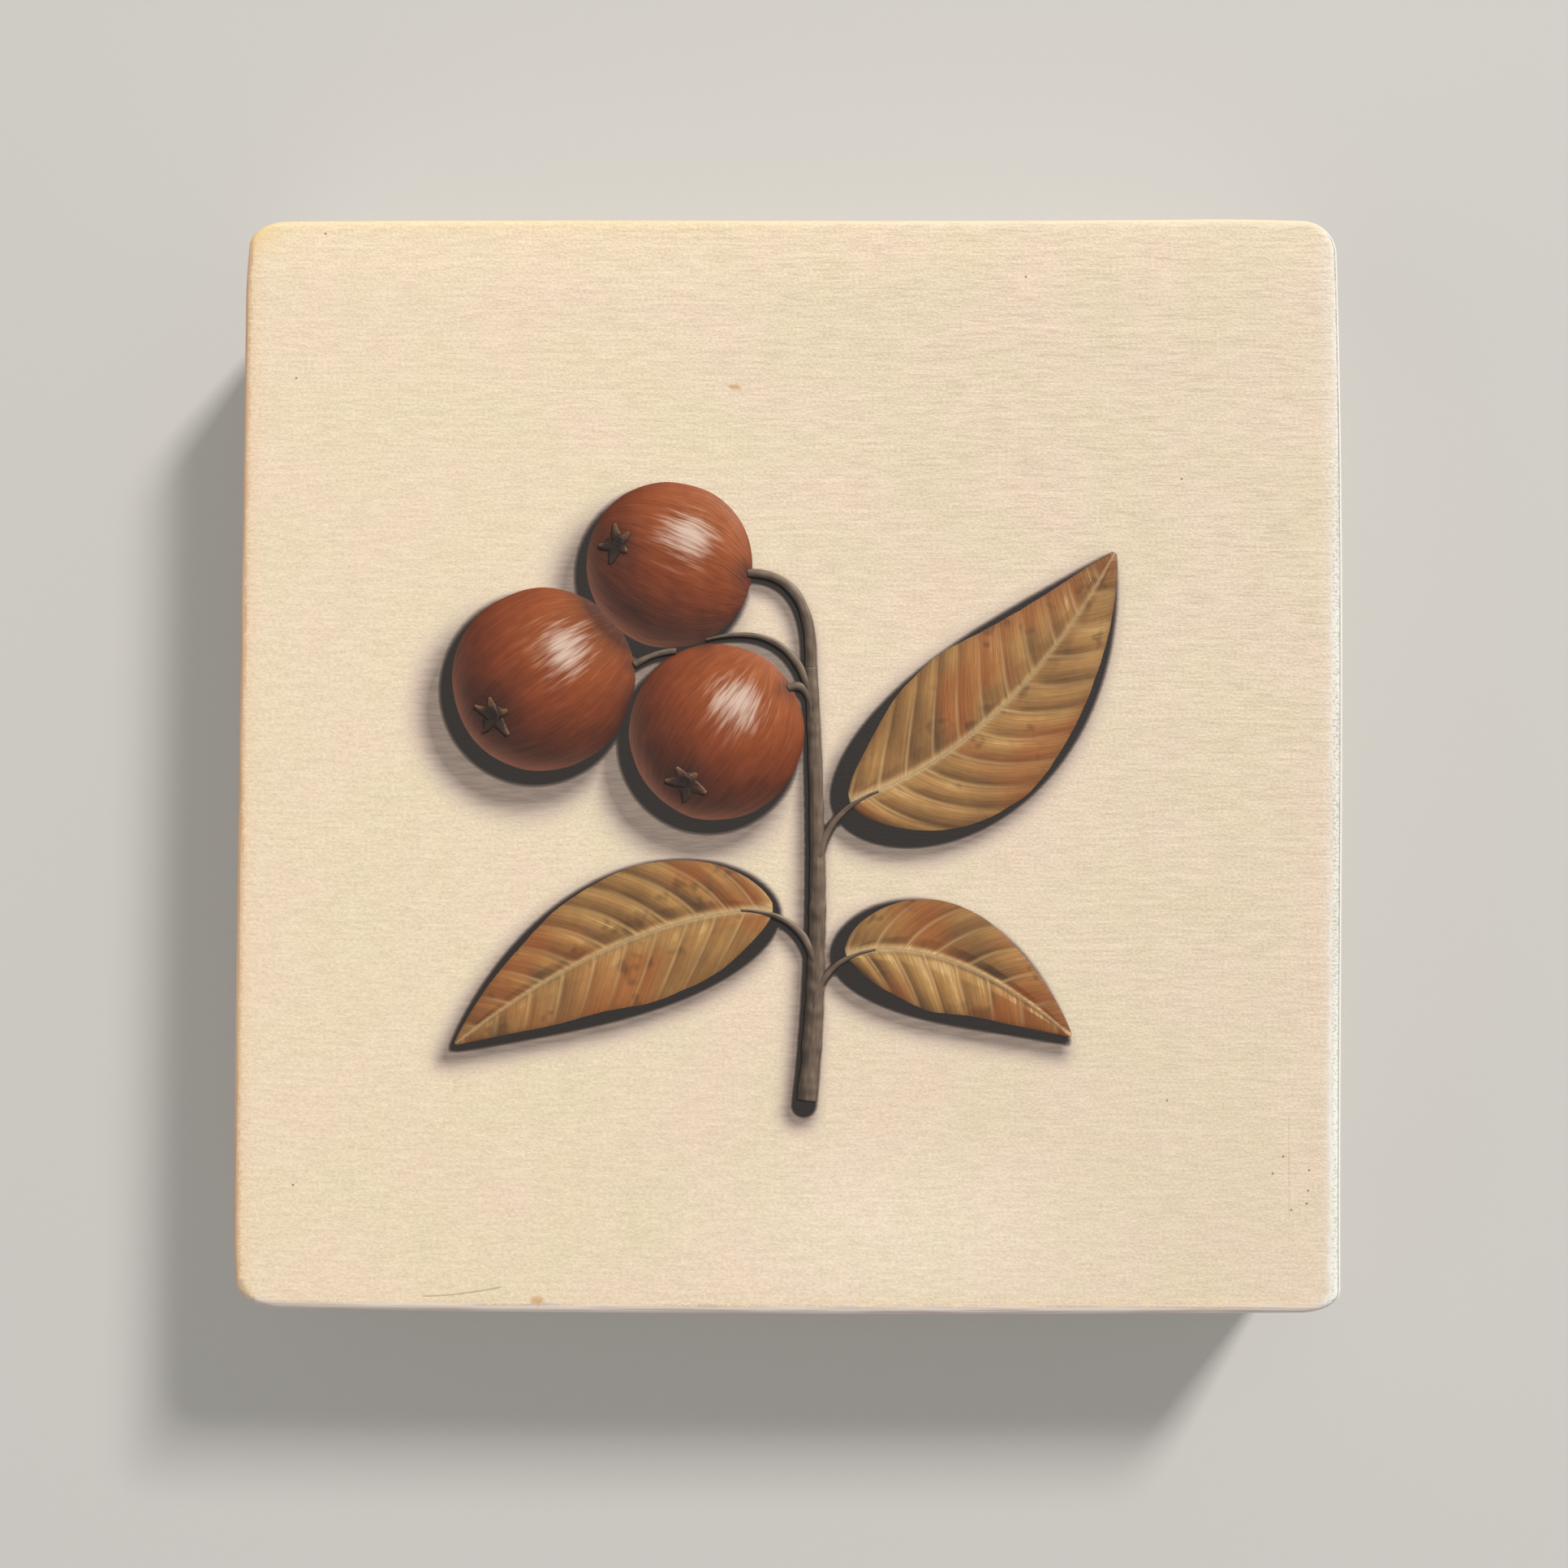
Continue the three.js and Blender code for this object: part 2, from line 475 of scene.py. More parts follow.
def mix_ground():
    """The cream paint of the face, the whiter strip round it and the ivory coat of the sides."""
    material, tree, shader = new_material("brushed_ground")
    place = place_in_mm(tree)
    edge = use_group(tree, panel_edge, {"Place": place, "Soft": CORNER_SOFTNESS})
    from_edge = put(tree, "Attribute", attribute_name="From Edge").outputs["Fac"]
    grit = marks(tree, place, length=0.3, pitch=0.19)
    ridges = marks(tree, place, length=2.6, pitch=0.34, wander=0.8)
    lines = rise(tree, marks(tree, place, length=22.0, pitch=0.3, wander=0.4), 0.6, 0.95)
    grain = marks(tree, place, length=0.44, pitch=0.32)
    brushed = add_up(tree, (ridges, 0.34), (grit, 0.56), (lines, 0.12))
    dabbed = add_up(tree, (ridges, 0.24), (grit, 0.42), (grain, 0.26))
    texture = mix_numbers(tree, rise(tree, towards_corner(tree, place), -0.9, 0.7), dabbed, brushed)
    texture = calc(tree, "SUBTRACT", texture, dark_threads(tree, place))
    cream = ground_cream(tree, place, edge, from_edge, texture)
    strip, streaks = turned_strip(tree, place, edge, from_edge, grit)
    wander = use_group(tree, patches, {"Place": place, "Size": 1.6})["Patch"]
    rough_rim = calc(tree, "MULTIPLY_ADD", grit, 0.3, calc(tree, "MULTIPLY", wander, 0.25))
    past = calc(tree, "SUBTRACT", from_edge, number_by_side(tree, edge, STRIP_WIDTH))
    past = calc(tree, "MULTIPLY_ADD", upper_right(tree, place, edge), 0.75, past)
    on_face = rise(tree, calc(tree, "ADD", past, rough_rim), 0.0, 0.55)
    colour = mix(tree, on_face, strip, cream)
    colour = small_marks(tree, place, colour)
    colour = painted_shadow(tree, ridges, colour)
    tree.links.new(colour, shader.inputs["Base Color"])
    tree.links.new(calc(tree, "MULTIPLY_ADD", texture, 0.16, 0.54), shader.inputs["Roughness"])
    shader.inputs["Specular IOR Level"].default_value = 0.35
    face_height = calc(tree, "MULTIPLY", texture, on_face)
    side_height = calc(tree, "MULTIPLY", calc(tree, "SUBTRACT", 1.0, on_face), streaks)
    side_height = calc(tree, "MULTIPLY", side_height, 0.6)
    raise_bumps(tree, shader, calc(tree, "ADD", face_height, side_height), GROUND_BUMP)
    return material


def towards_corner(tree, place):
    """From -2 at the lower left corner to 2 at the upper right, where the strokes are longest."""
    axes = put(tree, "SeparateXYZ", {0: place}).outputs
    return calc(tree, "DIVIDE", calc(tree, "ADD", axes["X"], axes["Y"]), HALF)


# %% [markdown]
# The cream itself changes in tone, from slow to quick. Painted shade greys it a little towards the
# right, it is paler in the lower middle, and painted light makes it paler along the top. It drifts
# between pinkish and greenish, and is warmer in a band close to the edges. Last come the ridges:
# painted shade darkens their hollows and painted light brightens their tops.


# %% Tone the cream
EDGE_BAND = 2.4
THREAD_DEPTH = 0.28
EDGE_HIGHLIGHT_ZONE, SEAM_ZONE, PIT_ZONE = (0.0, 0.24), (0.27, 0.42), (0.42, 1.0)


def right_of_top(tree, place, edge):
    """1 on the right half of the top edge, which isn't as yellowed as the left half."""
    across = rise(tree, axis_of(tree, place, "X"), -0.5 * HALF, 0.5 * HALF)
    return calc(tree, "MULTIPLY", across, edge["Top"])


def upper_right(tree, place, edge):
    """1 on the upper part of the right edge, where the cream reaches further over."""
    upward = rise(tree, axis_of(tree, place, "Y"), 0.25 * HALF, 0.8 * HALF)
    return calc(tree, "MULTIPLY", upward, edge["Right"])


def dark_threads(tree, place):
    """Thin level lines that the brush drew deeper towards the upper right corner, darkened by the painted
    shade in the hollows.
    """
    there = rise(tree, towards_corner(tree, place), 0.1, 1.3)
    threads = rise(tree, marks(tree, place, length=2.8, pitch=0.22, wander=0.7), 0.3, 0.06)
    return calc(tree, "MULTIPLY", calc(tree, "MULTIPLY", threads, there), THREAD_DEPTH)


def ground_cream(tree, place, edge, from_edge, texture):
    """Cream that drifts in tone and warms towards the edges, with painted shade to the right and in the
    hollows of its ridges, and painted light along the top and on the ridges.
    """
    drift = use_group(tree, patches, {"Place": place, "Size": 9.0})["Patch"]
    cream = mix(tree, drift, CREAM_PINK, CREAM_GREEN)
    # Painted shade towards the right.
    painted_shade_right = calc(tree, "MULTIPLY", rise(tree, axis_of(tree, place, "X"), -HALF, HALF), 0.9)
    cream = mix(tree, painted_shade_right, cream, PAINTED_SHADE_TOWARDS_RIGHT, way="MULTIPLY")
    # Painted light along the top.
    upward = rise(tree, axis_of(tree, place, "Y"), 0.82 * HALF, 0.97 * HALF)
    cream = mix(tree, upward, cream, PAINTED_LIGHT_NEAR_TOP, way="MULTIPLY")
    paler = oval(tree, place, PALER_PATCH, (27.0, 12.0), ragged=0.4, soft=1.0)
    cream = mix(tree, paler, cream, PALER_CREAM, way="MULTIPLY")
    warm = calc(tree, "SUBTRACT", 1.0, rise(tree, from_edge, 0.3, EDGE_BAND))
    warmer = mix(tree, right_of_top(tree, place, edge), colour_by_side(tree, edge, NEAR_EDGE), TOP_PLAIN)
    cream = tint(tree, warm, 0.8, cream, warmer)
    # Painted shade in the hollows of the ridges and painted light on their tops.
    dark = mix(tree, 1.0, cream, PAINTED_SHADE_IN_HOLLOWS, way="MULTIPLY")
    light = mix(tree, 1.0, cream, PAINTED_LIGHT_ON_RIDGES, way="MULTIPLY")
    return mix(tree, texture, dark, light)


def turned_strip(tree, place, edge, from_edge, grit):
    """The strip where the face turns over, with painted shade, a painted warm reflection and a painted
    highlight on some sides, and the even coat of the sides below it.
    """
    fine = marks(tree, edge["Along Edge"], length=9.0, pitch=0.2, wander=0.3)
    broad = marks(tree, edge["Along Edge"], length=16.0, pitch=0.9, wander=0.8)
    streaks = calc(tree, "MULTIPLY_ADD", fine, 0.6, calc(tree, "MULTIPLY", broad, 0.4))
    speckled = calc(tree, "MULTIPLY_ADD", grit, 0.5, calc(tree, "MULTIPLY", streaks, 0.5))
    amount = mix_numbers(tree, edge["Right"], streaks, speckled)
    # Per side, painted shade greys the bottom and a painted warm reflection tints the left.
    light, dark = (colour_by_side(tree, edge, tones) for tones in (STRIP_LIGHT, STRIP_DARK))
    strip = mix(tree, rise(tree, amount, 0.2, 0.75), dark, light)
    strip = tint(tree, right_of_top(tree, place, edge), 0.8, strip, TOP_PLAIN)
    lower = rise(tree, axis_of(tree, place, "Y"), -0.1 * HALF, -0.7 * HALF)
    strip = tint(tree, calc(tree, "MULTIPLY", lower, edge["Right"]), 0.5, strip, PRIMER_WHITE_AND_HIGHLIGHT)
    # A painted highlight along the very edge of the right side.
    rim = calc(tree, "MULTIPLY", between(tree, from_edge, *EDGE_HIGHLIGHT_ZONE, 0.06), edge["Right"])
    strip = tint(tree, rim, 0.7, strip, PRIMER_WHITE_AND_HIGHLIGHT)
    seam = calc(tree, "MULTIPLY", between(tree, from_edge, *SEAM_ZONE, 0.06), edge["Right"])
    strip = tint(tree, seam, mix_numbers(tree, speckled, 0.95, 0.45), strip, LINE_GREY)
    pits = calc(tree, "MULTIPLY", between(tree, from_edge, *PIT_ZONE, 0.12), rise(tree, grit, 0.46, 0.14))
    bare_right = calc(tree, "SUBTRACT", edge["Right"], upper_right(tree, place, edge))
    strip = tint(tree, calc(tree, "MULTIPLY", pits, bare_right), 0.34, strip, LINE_GREY)
    coat = mix(tree, streaks, SIDE_DARK, SIDE_LIGHT)
    return mix(tree, rise(tree, from_edge, -0.4, -2.2), strip, coat), streaks


# %% [markdown]
# The small marks are laid over the cream one by one, each where it is on the real face. A mask says
# where a mark is, and a mix turns the cream to the mark's colour there.


# %% Lay the small marks
LINE_HALF, CRACK_HALF = 0.04, 0.06
SPECK_CORE, SPECK_RIM = 0.05, 0.16


def small_marks(tree, place, colour):
    """The yellowed corner, painted shade on the lower left corner, the knots, the hairlines and the specks.
    """
    corner = oval(tree, place, (-HALF + 0.6, HALF - 1.2), (4.4, 3.4), ragged=0.6, soft=0.9)
    colour = tint(tree, corner, 0.8, colour, YELLOWED)
    # Painted shade along the rounding of the lower left corner.
    for middle in LOWER_LEFT_SHADE:
        corner_shade = oval(tree, place, middle, (0.42, 0.5), ragged=0.7, soft=0.95)
        colour = tint(tree, corner_shade, 0.5, colour, SHADE_OLIVE)
    for middle, half_size in ((PIN_KNOT, (0.85, 0.4)), (EDGE_KNOT, (1.0, 0.6))):
        knot = oval(tree, place, middle, half_size, ragged=1.2, soft=0.9)
        colour = tint(tree, knot, 0.8, colour, KNOT_TAN)
    axes = put(tree, "SeparateXYZ", {0: place}).outputs
    colour = tint(tree, hairline_crack(tree, axes), 0.75, colour, LINE_BROWN)
    score = calc(
        tree, "MULTIPLY",
        between(tree, axes["X"], SCORE_TOP[0] - LINE_HALF, SCORE_TOP[0] + LINE_HALF, 0.05),
        between(tree, axes["Y"], SCORE_FOOT[1], SCORE_TOP[1], 0.8),
    )
    colour = tint(tree, score, 0.35, colour, LINE_BROWN)
    flat = put(tree, "CombineXYZ", {"X": axes["X"], "Y": axes["Y"], "Z": FACE}).outputs[0]
    dots = 0.0
    for x, y in SPECKS:
        away = put(tree, "VectorMath", {0: flat, 1: (x, y, FACE)}, operation="DISTANCE").outputs["Value"]
        dots = calc(tree, "MAXIMUM", dots, rise(tree, away, SPECK_RIM, SPECK_CORE))
    return tint(tree, dots, 0.75, colour, SPECK_BROWN)


def hairline_crack(tree, axes):
    """A thin line that curves up to the right, from one stated end to the other."""
    run, climb = CRACK_END[0] - CRACK_START[0], CRACK_END[1] - CRACK_START[1]
    share = calc(tree, "DIVIDE", calc(tree, "SUBTRACT", axes["X"], CRACK_START[0]), run)
    lift = calc(tree, "MULTIPLY", calc(tree, "POWER", share, 1.7), climb)
    off = calc(tree, "SUBTRACT", calc(tree, "SUBTRACT", axes["Y"], CRACK_START[1]), lift)
    return calc(
        tree, "MULTIPLY",
        between(tree, off, -CRACK_HALF, CRACK_HALF, 0.05),
        between(tree, axes["X"], CRACK_START[0], CRACK_END[0], 0.3),
    )


# %% [markdown]
# The shadow under the sprig is painted too, in greyed lilac at its soft rim and nearly black where
# a shape touches the surface. How far each place is from it comes from the mesh, and the ridges of
# the ground break its rim, as they do under a nearly dry brush.

# %% Lay the painted shadow
SHADOW_LILAC, SHADOW_UMBER, SHADOW_BLACK = paint(196, 178, 164), paint(104, 90, 82), paint(46, 41, 39)
CAST_DARKNESS = 0.52


def nearness(tree, label):
    """1 on a shadow whose distance is stored in the mesh, falling evenly to 0 at the end of its blur."""
    distance = put(tree, "Attribute", attribute_name=label).outputs["Fac"]
    inputs = {"Value": distance, "From Min": 1.0, "From Max": 0.0}
    return put(tree, "MapRange", inputs).outputs["Result"]


def painted_shadow(tree, ridges, colour):
    """The shadow under the sprig: dark and narrow close to it, paler and softer further out."""
    contact = calc(tree, "POWER", nearness(tree, "Contact"), 1.5)
    cast = calc(tree, "MULTIPLY", calc(tree, "POWER", nearness(tree, "Cast"), 2.0), CAST_DARKNESS)
    strength = calc(tree, "MAXIMUM", contact, cast)
    broken = calc(tree, "MULTIPLY", calc(tree, "SUBTRACT", ridges, 0.5), 0.06)
    broken = calc(tree, "MULTIPLY", broken, between(tree, strength, 0.12, 0.75, 0.12))
    strength = calc(tree, "ADD", strength, broken)
    colour = mix(tree, rise(tree, strength, 0.0, 0.4), colour, SHADOW_LILAC)
    colour = mix(tree, rise(tree, strength, 0.22, 0.72), colour, SHADOW_UMBER)
    return mix(tree, rise(tree, strength, 0.6, 1.0), colour, SHADOW_BLACK)


ground_finish = mix_ground()
print(f"{ground_finish.name}: {len(ground_finish.node_tree.nodes)} nodes")

# %% [markdown]
# ## Bare wood
# The board is birch plywood. Its veneer is peeled off the log in one long sheet, so the knife
# crosses the yearly rings at a slant and leaves broad flowing bands. The rails are basswood, sawn
# straight, pale and plain, with the grain along each rail. Both are left bare behind.


# %% Mix the wood finishes
WOOD_BUMP = 0.02


def mix_wood(name, tones, band_width, bands, quarter_turns, shift):
    """Bare wood with its grain turned along the piece, and shifted so that no two pieces match."""
    material, tree, shader = new_material(name)
    light, dark, pore = tones
    turn = (0.0, 0.0, quarter_turns * math.pi / 2)
    inputs = {"Vector": place_in_mm(tree), "Rotation": turn, "Location": (shift, 0.4 * shift, 0.0)}
    turned = put(tree, "Mapping", inputs).outputs[0]
    wood = use_group(tree, wood_figure, {"Place": turned, "Band Width": band_width, "Bands": bands})
    tone = use_group(tree, patches, {"Place": turned, "Size": 18.0})["Patch"]
    shade = calc(tree, "MULTIPLY_ADD", wood["Figure"], 0.5, calc(tree, "MULTIPLY", wood["Fibres"], 0.4))
    shade = calc(tree, "MULTIPLY_ADD", tone, 0.18, shade)
    colour = mix(tree, shade, light, dark)
    colour = tint(tree, wood["Pores"], 0.6, colour, pore)
    tree.links.new(colour, shader.inputs["Base Color"])
    tree.links.new(calc(tree, "MULTIPLY_ADD", wood["Fibres"], 0.15, 0.62), shader.inputs["Roughness"])
    shader.inputs["Specular IOR Level"].default_value = 0.3
    raise_bumps(tree, shader, calc(tree, "SUBTRACT", wood["Fibres"], wood["Pores"]), WOOD_BUMP)
    return material


BIRCH = (paint(233, 208, 166), paint(211, 176, 128), paint(164, 126, 84))
BASSWOOD = (paint(236, 214, 176), paint(214, 186, 144), paint(182, 150, 108))
RAIL_TURNS = {"top_rail": 0, "left_rail": 1, "bottom_rail": 2, "right_rail": 3}
BIRCH_GRAIN, RAIL_GRAIN = {"band_width": 13.0, "bands": 7.0}, {"band_width": 3.2, "bands": 3.0}
birch_finish = mix_wood("birch_ply", BIRCH, **BIRCH_GRAIN, quarter_turns=0, shift=31.0)
rail_finishes = {
    name: mix_wood("basswood_" + name, BASSWOOD, **RAIL_GRAIN, quarter_turns=turns, shift=57.0 * turns)
    for name, turns in RAIL_TURNS.items()
}
print("wood finishes:", birch_finish.name, *(finish.name for finish in rail_finishes.values()))

# %% [markdown]
# ## The panel's outline
# Every piece of the panel follows one outline: a square with four round corners. Sanding by hand
# left the corners unlike each other and the sides a little hollow or full, by about half a
# millimetre. A side has four numbers: how far out its middle stands, how much it leans, how much
# it bows and how much it winds like an S. Three ends of sides are worn a little more: which end,
# how deep and over what length. One function moves any point of a plain square to its place in
# that outline, so the board, the rails and the ground all agree without being fitted.

# %% Shape the outline
CORNERS = {
    "top_left": (3.6, 2.3), "top_right": (3.2, 3.2),
    "bottom_left": (4.2, 2.4), "bottom_right": (3.9, 2.2),
}
SIDE_SHAPES = {
    "left": (0.0, -0.18, -0.13, 0.18), "right": (0.08, 0.34, -0.38, -0.4),
    "top": (-0.44, -0.07, 0.1, 0.3), "bottom": (-0.34, -0.21, -0.36, 0.08),
}
END_WEAR = {"left": ((1, 0.5, 7.5), (-1, 0.42, 6.5)), "top": ((1, 0.45, 12.0),)}
INWARD_FADE = 6


def corner_size(x, y):
    """The width and the height of the round corner that each point lies towards."""
    sizes = []
    for axis in (0, 1):
        upper = np.where(x < 0, CORNERS["top_left"][axis], CORNERS["top_right"][axis])
        lower = np.where(x < 0, CORNERS["bottom_left"][axis], CORNERS["bottom_right"][axis])
        sizes.append(np.where(y < 0, lower, upper))
    return sizes


def round_off(x, y):
    """Points of the plain square moved so that its corners become round."""
    wide, tall = corner_size(x, y)
    over_x = np.clip((abs(x) - HALF + wide) / wide, 0, 1)
    over_y = np.clip((abs(y) - HALF + tall) / tall, 0, 1)
    round_x = HALF - wide + wide * over_x * np.sqrt(1 - over_y**2 / 2)
    round_y = HALF - tall + tall * over_y * np.sqrt(1 - over_x**2 / 2)
    in_corner = (over_x > 0) & (over_y > 0)
    x = np.where(in_corner, np.sign(x) * round_x, x)
    y = np.where(in_corner, np.sign(y) * round_y, y)
    return x, y


def depth_inside(x, y):
    """How far a point of the rounded square is from its outline, along the face."""
    wide, tall = corner_size(x, y)
    over_x, over_y = (abs(x) - HALF + wide) / wide, (abs(y) - HALF + tall) / tall
    out = np.maximum(np.hypot(over_x, over_y), 0.001)
    radius = (wide * over_x**2 + tall * over_y**2) / out**2
    in_corner = (over_x > 0) & (over_y > 0)
    return np.where(in_corner, (1 - out) * radius, HALF - np.maximum(abs(x), abs(y)))


def side_offset(side, along):
    """How far a side stands outside the true square at a place along it, in millimetres."""
    offset = sum(factor * (along / HALF) ** power for power, factor in enumerate(SIDE_SHAPES[side]))
    for end, depth, length in END_WEAR.get(side, ()):
        offset = offset - depth * np.clip(1 - (HALF - end * along) / length, 0, 1) ** 1.5
    return offset


def sanded(x, y):
    """The rounded square with its hand-sanded sides."""
    side_x = np.where(x < 0, side_offset("left", y), side_offset("right", y))
    side_y = np.where(y < 0, side_offset("bottom", x), side_offset("top", x))
    moved_x = x + np.sign(x) * side_x * (abs(x) / HALF) ** INWARD_FADE
    moved_y = y + np.sign(y) * side_y * (abs(y) / HALF) ** INWARD_FADE
    return moved_x, moved_y


def outline_place(x, y, inset=0.0):
    """A point of the plain square, from -HALF to HALF each way, at its place in the real outline."""
    x, y = sanded(*round_off(x, y))
    shrink = (HALF - inset) / HALF
    return x * shrink, y * shrink


# %% [markdown]
# ## Helpers for meshes
# Each piece is built from rows of points. Rows that close on themselves are joined into bands of
# four-sided faces, and the ends are closed with one flat face, so every piece is a sealed solid.


# %% Write the mesh helpers
CREASE_ANGLE = math.radians(38)


def loop_of_grid(rows, columns):
    """The numbers of a grid's outer points, once round, starting at its first point."""
    number = np.arange(rows * columns).reshape(rows, columns)
    first, last = number[0, :-1], number[-1, :0:-1]
    right, left = number[:-1, -1], number[:0:-1, 0]
    return np.concatenate([first, right, last, left])


def grid_faces(rows, columns):
    """Four-sided faces of a grid whose points are numbered row by row."""
    number = np.arange(rows * columns).reshape(rows, columns)
    corners = (number[:-1, :-1], number[:-1, 1:], number[1:, 1:], number[1:, :-1])
    return np.stack([corner.ravel() for corner in corners], axis=1).tolist()


def bridge(first, second):
    """A band of faces between two closed rows of equally many points."""
    return np.stack([first, np.roll(first, -1), np.roll(second, -1), second], axis=1).tolist()


def make_piece(name, points, faces, finish, replaces=None):
    """An object from points in millimetres. It rides with the panel and is shaded smooth."""
    mesh = bpy.data.meshes.new(name)
    mesh.from_pydata((np.asarray(points) * MM).tolist(), [], faces)
    skin = bmesh.new()
    skin.from_mesh(mesh)
    bmesh.ops.recalc_face_normals(skin, faces=skin.faces)
    skin.to_mesh(mesh)
    skin.free()
    mesh.shade_smooth()
    mesh.set_sharp_from_angle(angle=CREASE_ANGLE)
    mesh.materials.append(finish)
    piece = bpy.data.objects.new(name, mesh)
    bpy.context.scene.collection.objects.link(piece)
    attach(piece, "root")
    if replaces:
        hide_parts(replaces)
    return piece


def store(piece, name, values, kind="FLOAT"):
    """Keeps one value for each point in the mesh, where a finish can read it by name."""
    attribute = piece.data.attributes.new(name, kind, "POINT")
    field = {"FLOAT": "value", "FLOAT_VECTOR": "vector", "FLOAT_COLOR": "color"}[kind]
    attribute.data.foreach_set(field, np.asarray(values, dtype=np.float32).ravel())


def noise_at(x, y, gap_x, gap_y, seed=0.0):
    """Smooth noise from -1 to 1 for each point, with its own gap along and across."""
    pairs = zip(np.ravel(x) / gap_x, np.ravel(y) / gap_y)
    values = [noise.noise(Vector((u, v, seed))) for u, v in pairs]
    return np.array(values).reshape(np.shape(x))


# %% [markdown]
# ## The board
# The front edge of the plywood sheet was sanded round before the ground went on. The sheet is built
# as closed rows, from the rim of the back up the side and over to the front, and a flat face closes
# each end. The ground covers its front and sides, so it is as much smaller as the ground is thick.

# %% Make the board
GROUND_THICKNESS = 0.14
UNDER_GROUND = GROUND_THICKNESS + 0.01
BOARD_ROUNDING = FRONT_ROUNDING - 0.1


def square_round(points_a_side=160):
    """Points once round the plain square."""
    along = np.linspace(-HALF, HALF, points_a_side)
    side = np.full(len(along) - 1, HALF)
    x = np.concatenate([along[:-1], side, along[:0:-1], -side])
    y = np.concatenate([-side, along[:-1], side, along[:0:-1]])
    return x, y


def closed_rows(rows):
    """Points and faces of a solid whose rows, each (x, y, z), close on themselves."""
    points = np.concatenate([np.stack(np.broadcast_arrays(*row), axis=1) for row in rows])
    size = len(points) // len(rows)
    numbers = np.arange(len(points)).reshape(len(rows), size)
    faces = [numbers[0].tolist(), numbers[-1].tolist()]
    for first, second in zip(numbers[:-1], numbers[1:]):
        faces += bridge(first, second)
    return points, faces


def rounded_edge_rows(x, y, inset, top, radius, steps=6):
    """Rows that turn from an upright side over to a flat top, about a quarter circle."""
    rows = []
    for turn in np.linspace(0, math.pi / 2, steps):
        row_x, row_y = outline_place(x, y, inset + radius * (1 - math.cos(turn)))
        rows.append((row_x, row_y, top - radius + radius * math.sin(turn)))
    return rows


def make_board():
    """The plywood sheet, a little eased where its back edge meets the rails."""
    x, y = square_round()
    easing = 0.15
    rows = [(*outline_place(x, y, UNDER_GROUND + easing), BOARD_BACK)]
    rows.append((*outline_place(x, y, UNDER_GROUND), BOARD_BACK + easing))
    rows += rounded_edge_rows(x, y, UNDER_GROUND, FACE - GROUND_THICKNESS, BOARD_ROUNDING)
    points, faces = closed_rows(rows)
    return make_piece("face_board", points, faces, birch_finish, "face_board")


board = make_board()
print(f"board: {len(board.data.polygons)} faces")

# %% [markdown]
# ## The rails
# Each rail is a strip with mitred ends. Its section is drawn once, with every long edge eased a
# little, and repeated along the rail. Towards the ends the section leans over to follow the 45
# degree mitre, and the outer side follows the round corner. A hair's breadth is left between two
# mitres for the glue line.

# %% Make the rails
BACK_EASING = 0.45
FRONT_EASING = 0.12
GLUE_LINE = 0.04
STATIONS = 130


def eased_corner(across, up, easing, start):
    """A few points round one corner of the section, about a quarter circle."""
    turns = np.linspace(start, start + math.pi / 2, 4)
    return [(across + easing * math.cos(turn), up + easing * math.sin(turn)) for turn in turns]


def rail_section():
    """The section from behind the hollow round to the outer side: distance from the hollow, height."""
    section = eased_corner(BACK_EASING, BACK_EASING, BACK_EASING, math.pi)
    section += [(share * RAIL_WIDTH, 0.0) for share in (0.25, 0.5, 0.75)]
    section += eased_corner(RAIL_WIDTH - BACK_EASING, BACK_EASING, BACK_EASING, 1.5 * math.pi)
    section += [(RAIL_WIDTH, share * BOARD_BACK) for share in (0.1, 0.3, 0.5, 0.7, 0.9)]
    section += eased_corner(RAIL_WIDTH - FRONT_EASING, BOARD_BACK - FRONT_EASING, FRONT_EASING, 0.0)
    section += eased_corner(FRONT_EASING, BOARD_BACK - FRONT_EASING, FRONT_EASING, 0.5 * math.pi)
    section += [(0.0, share * BOARD_BACK) for share in (0.8, 0.6, 0.4, 0.2)]
    return np.array(section)


def make_rail(name, quarter_turns):
    """One rail, made as the top rail and turned into its place."""
    section = rail_section()
    even = np.linspace(-1, 1, STATIONS)
    share = 0.7 * even + 0.3 * np.sin(even * math.pi / 2)
    from_middle = HALF - RAIL_WIDTH + section[:, 0]
    rows = []
    for along in share:
        x = along * (from_middle - GLUE_LINE)
        rows.append((*outline_turned(x, from_middle, quarter_turns), section[:, 1]))
    points, faces = closed_rows(rows)
    return make_piece(name, points, faces, rail_finishes[name], name)


def outline_turned(x, y, quarter_turns):
    """A point of the top rail at its place in the rail that is so many quarter turns on."""
    turn = quarter_turns * math.pi / 2
    across = x * round(math.cos(turn)) - y * round(math.sin(turn))
    upward = x * round(math.sin(turn)) + y * round(math.cos(turn))
    return outline_place(across, upward, UNDER_GROUND)


rails = [make_rail(name, turns) for name, turns in RAIL_TURNS.items()]
print(f"rails: {sum(len(rail.data.polygons) for rail in rails)} faces")

# %% [markdown]
# ## The sprig's layout
# The picture is planned as on a sheet of paper, in millimetres from the panel's middle. A stem rises
# from the lower middle, leaves spread to both sides, and round berries hang in a loose bunch at the
# upper left. Each shape is also kept as a row of discs, because the painted shadow under it is
# worked out from them. A thick shape stands higher off the ground, so its shadow falls further.
# A berry has its middle, its radius and the way that its crown points, in degrees. A leaf has the
# start, the bend and the end of its midrib, and its half width. A stem has the same three points,
# and its half width at the start and at the end.

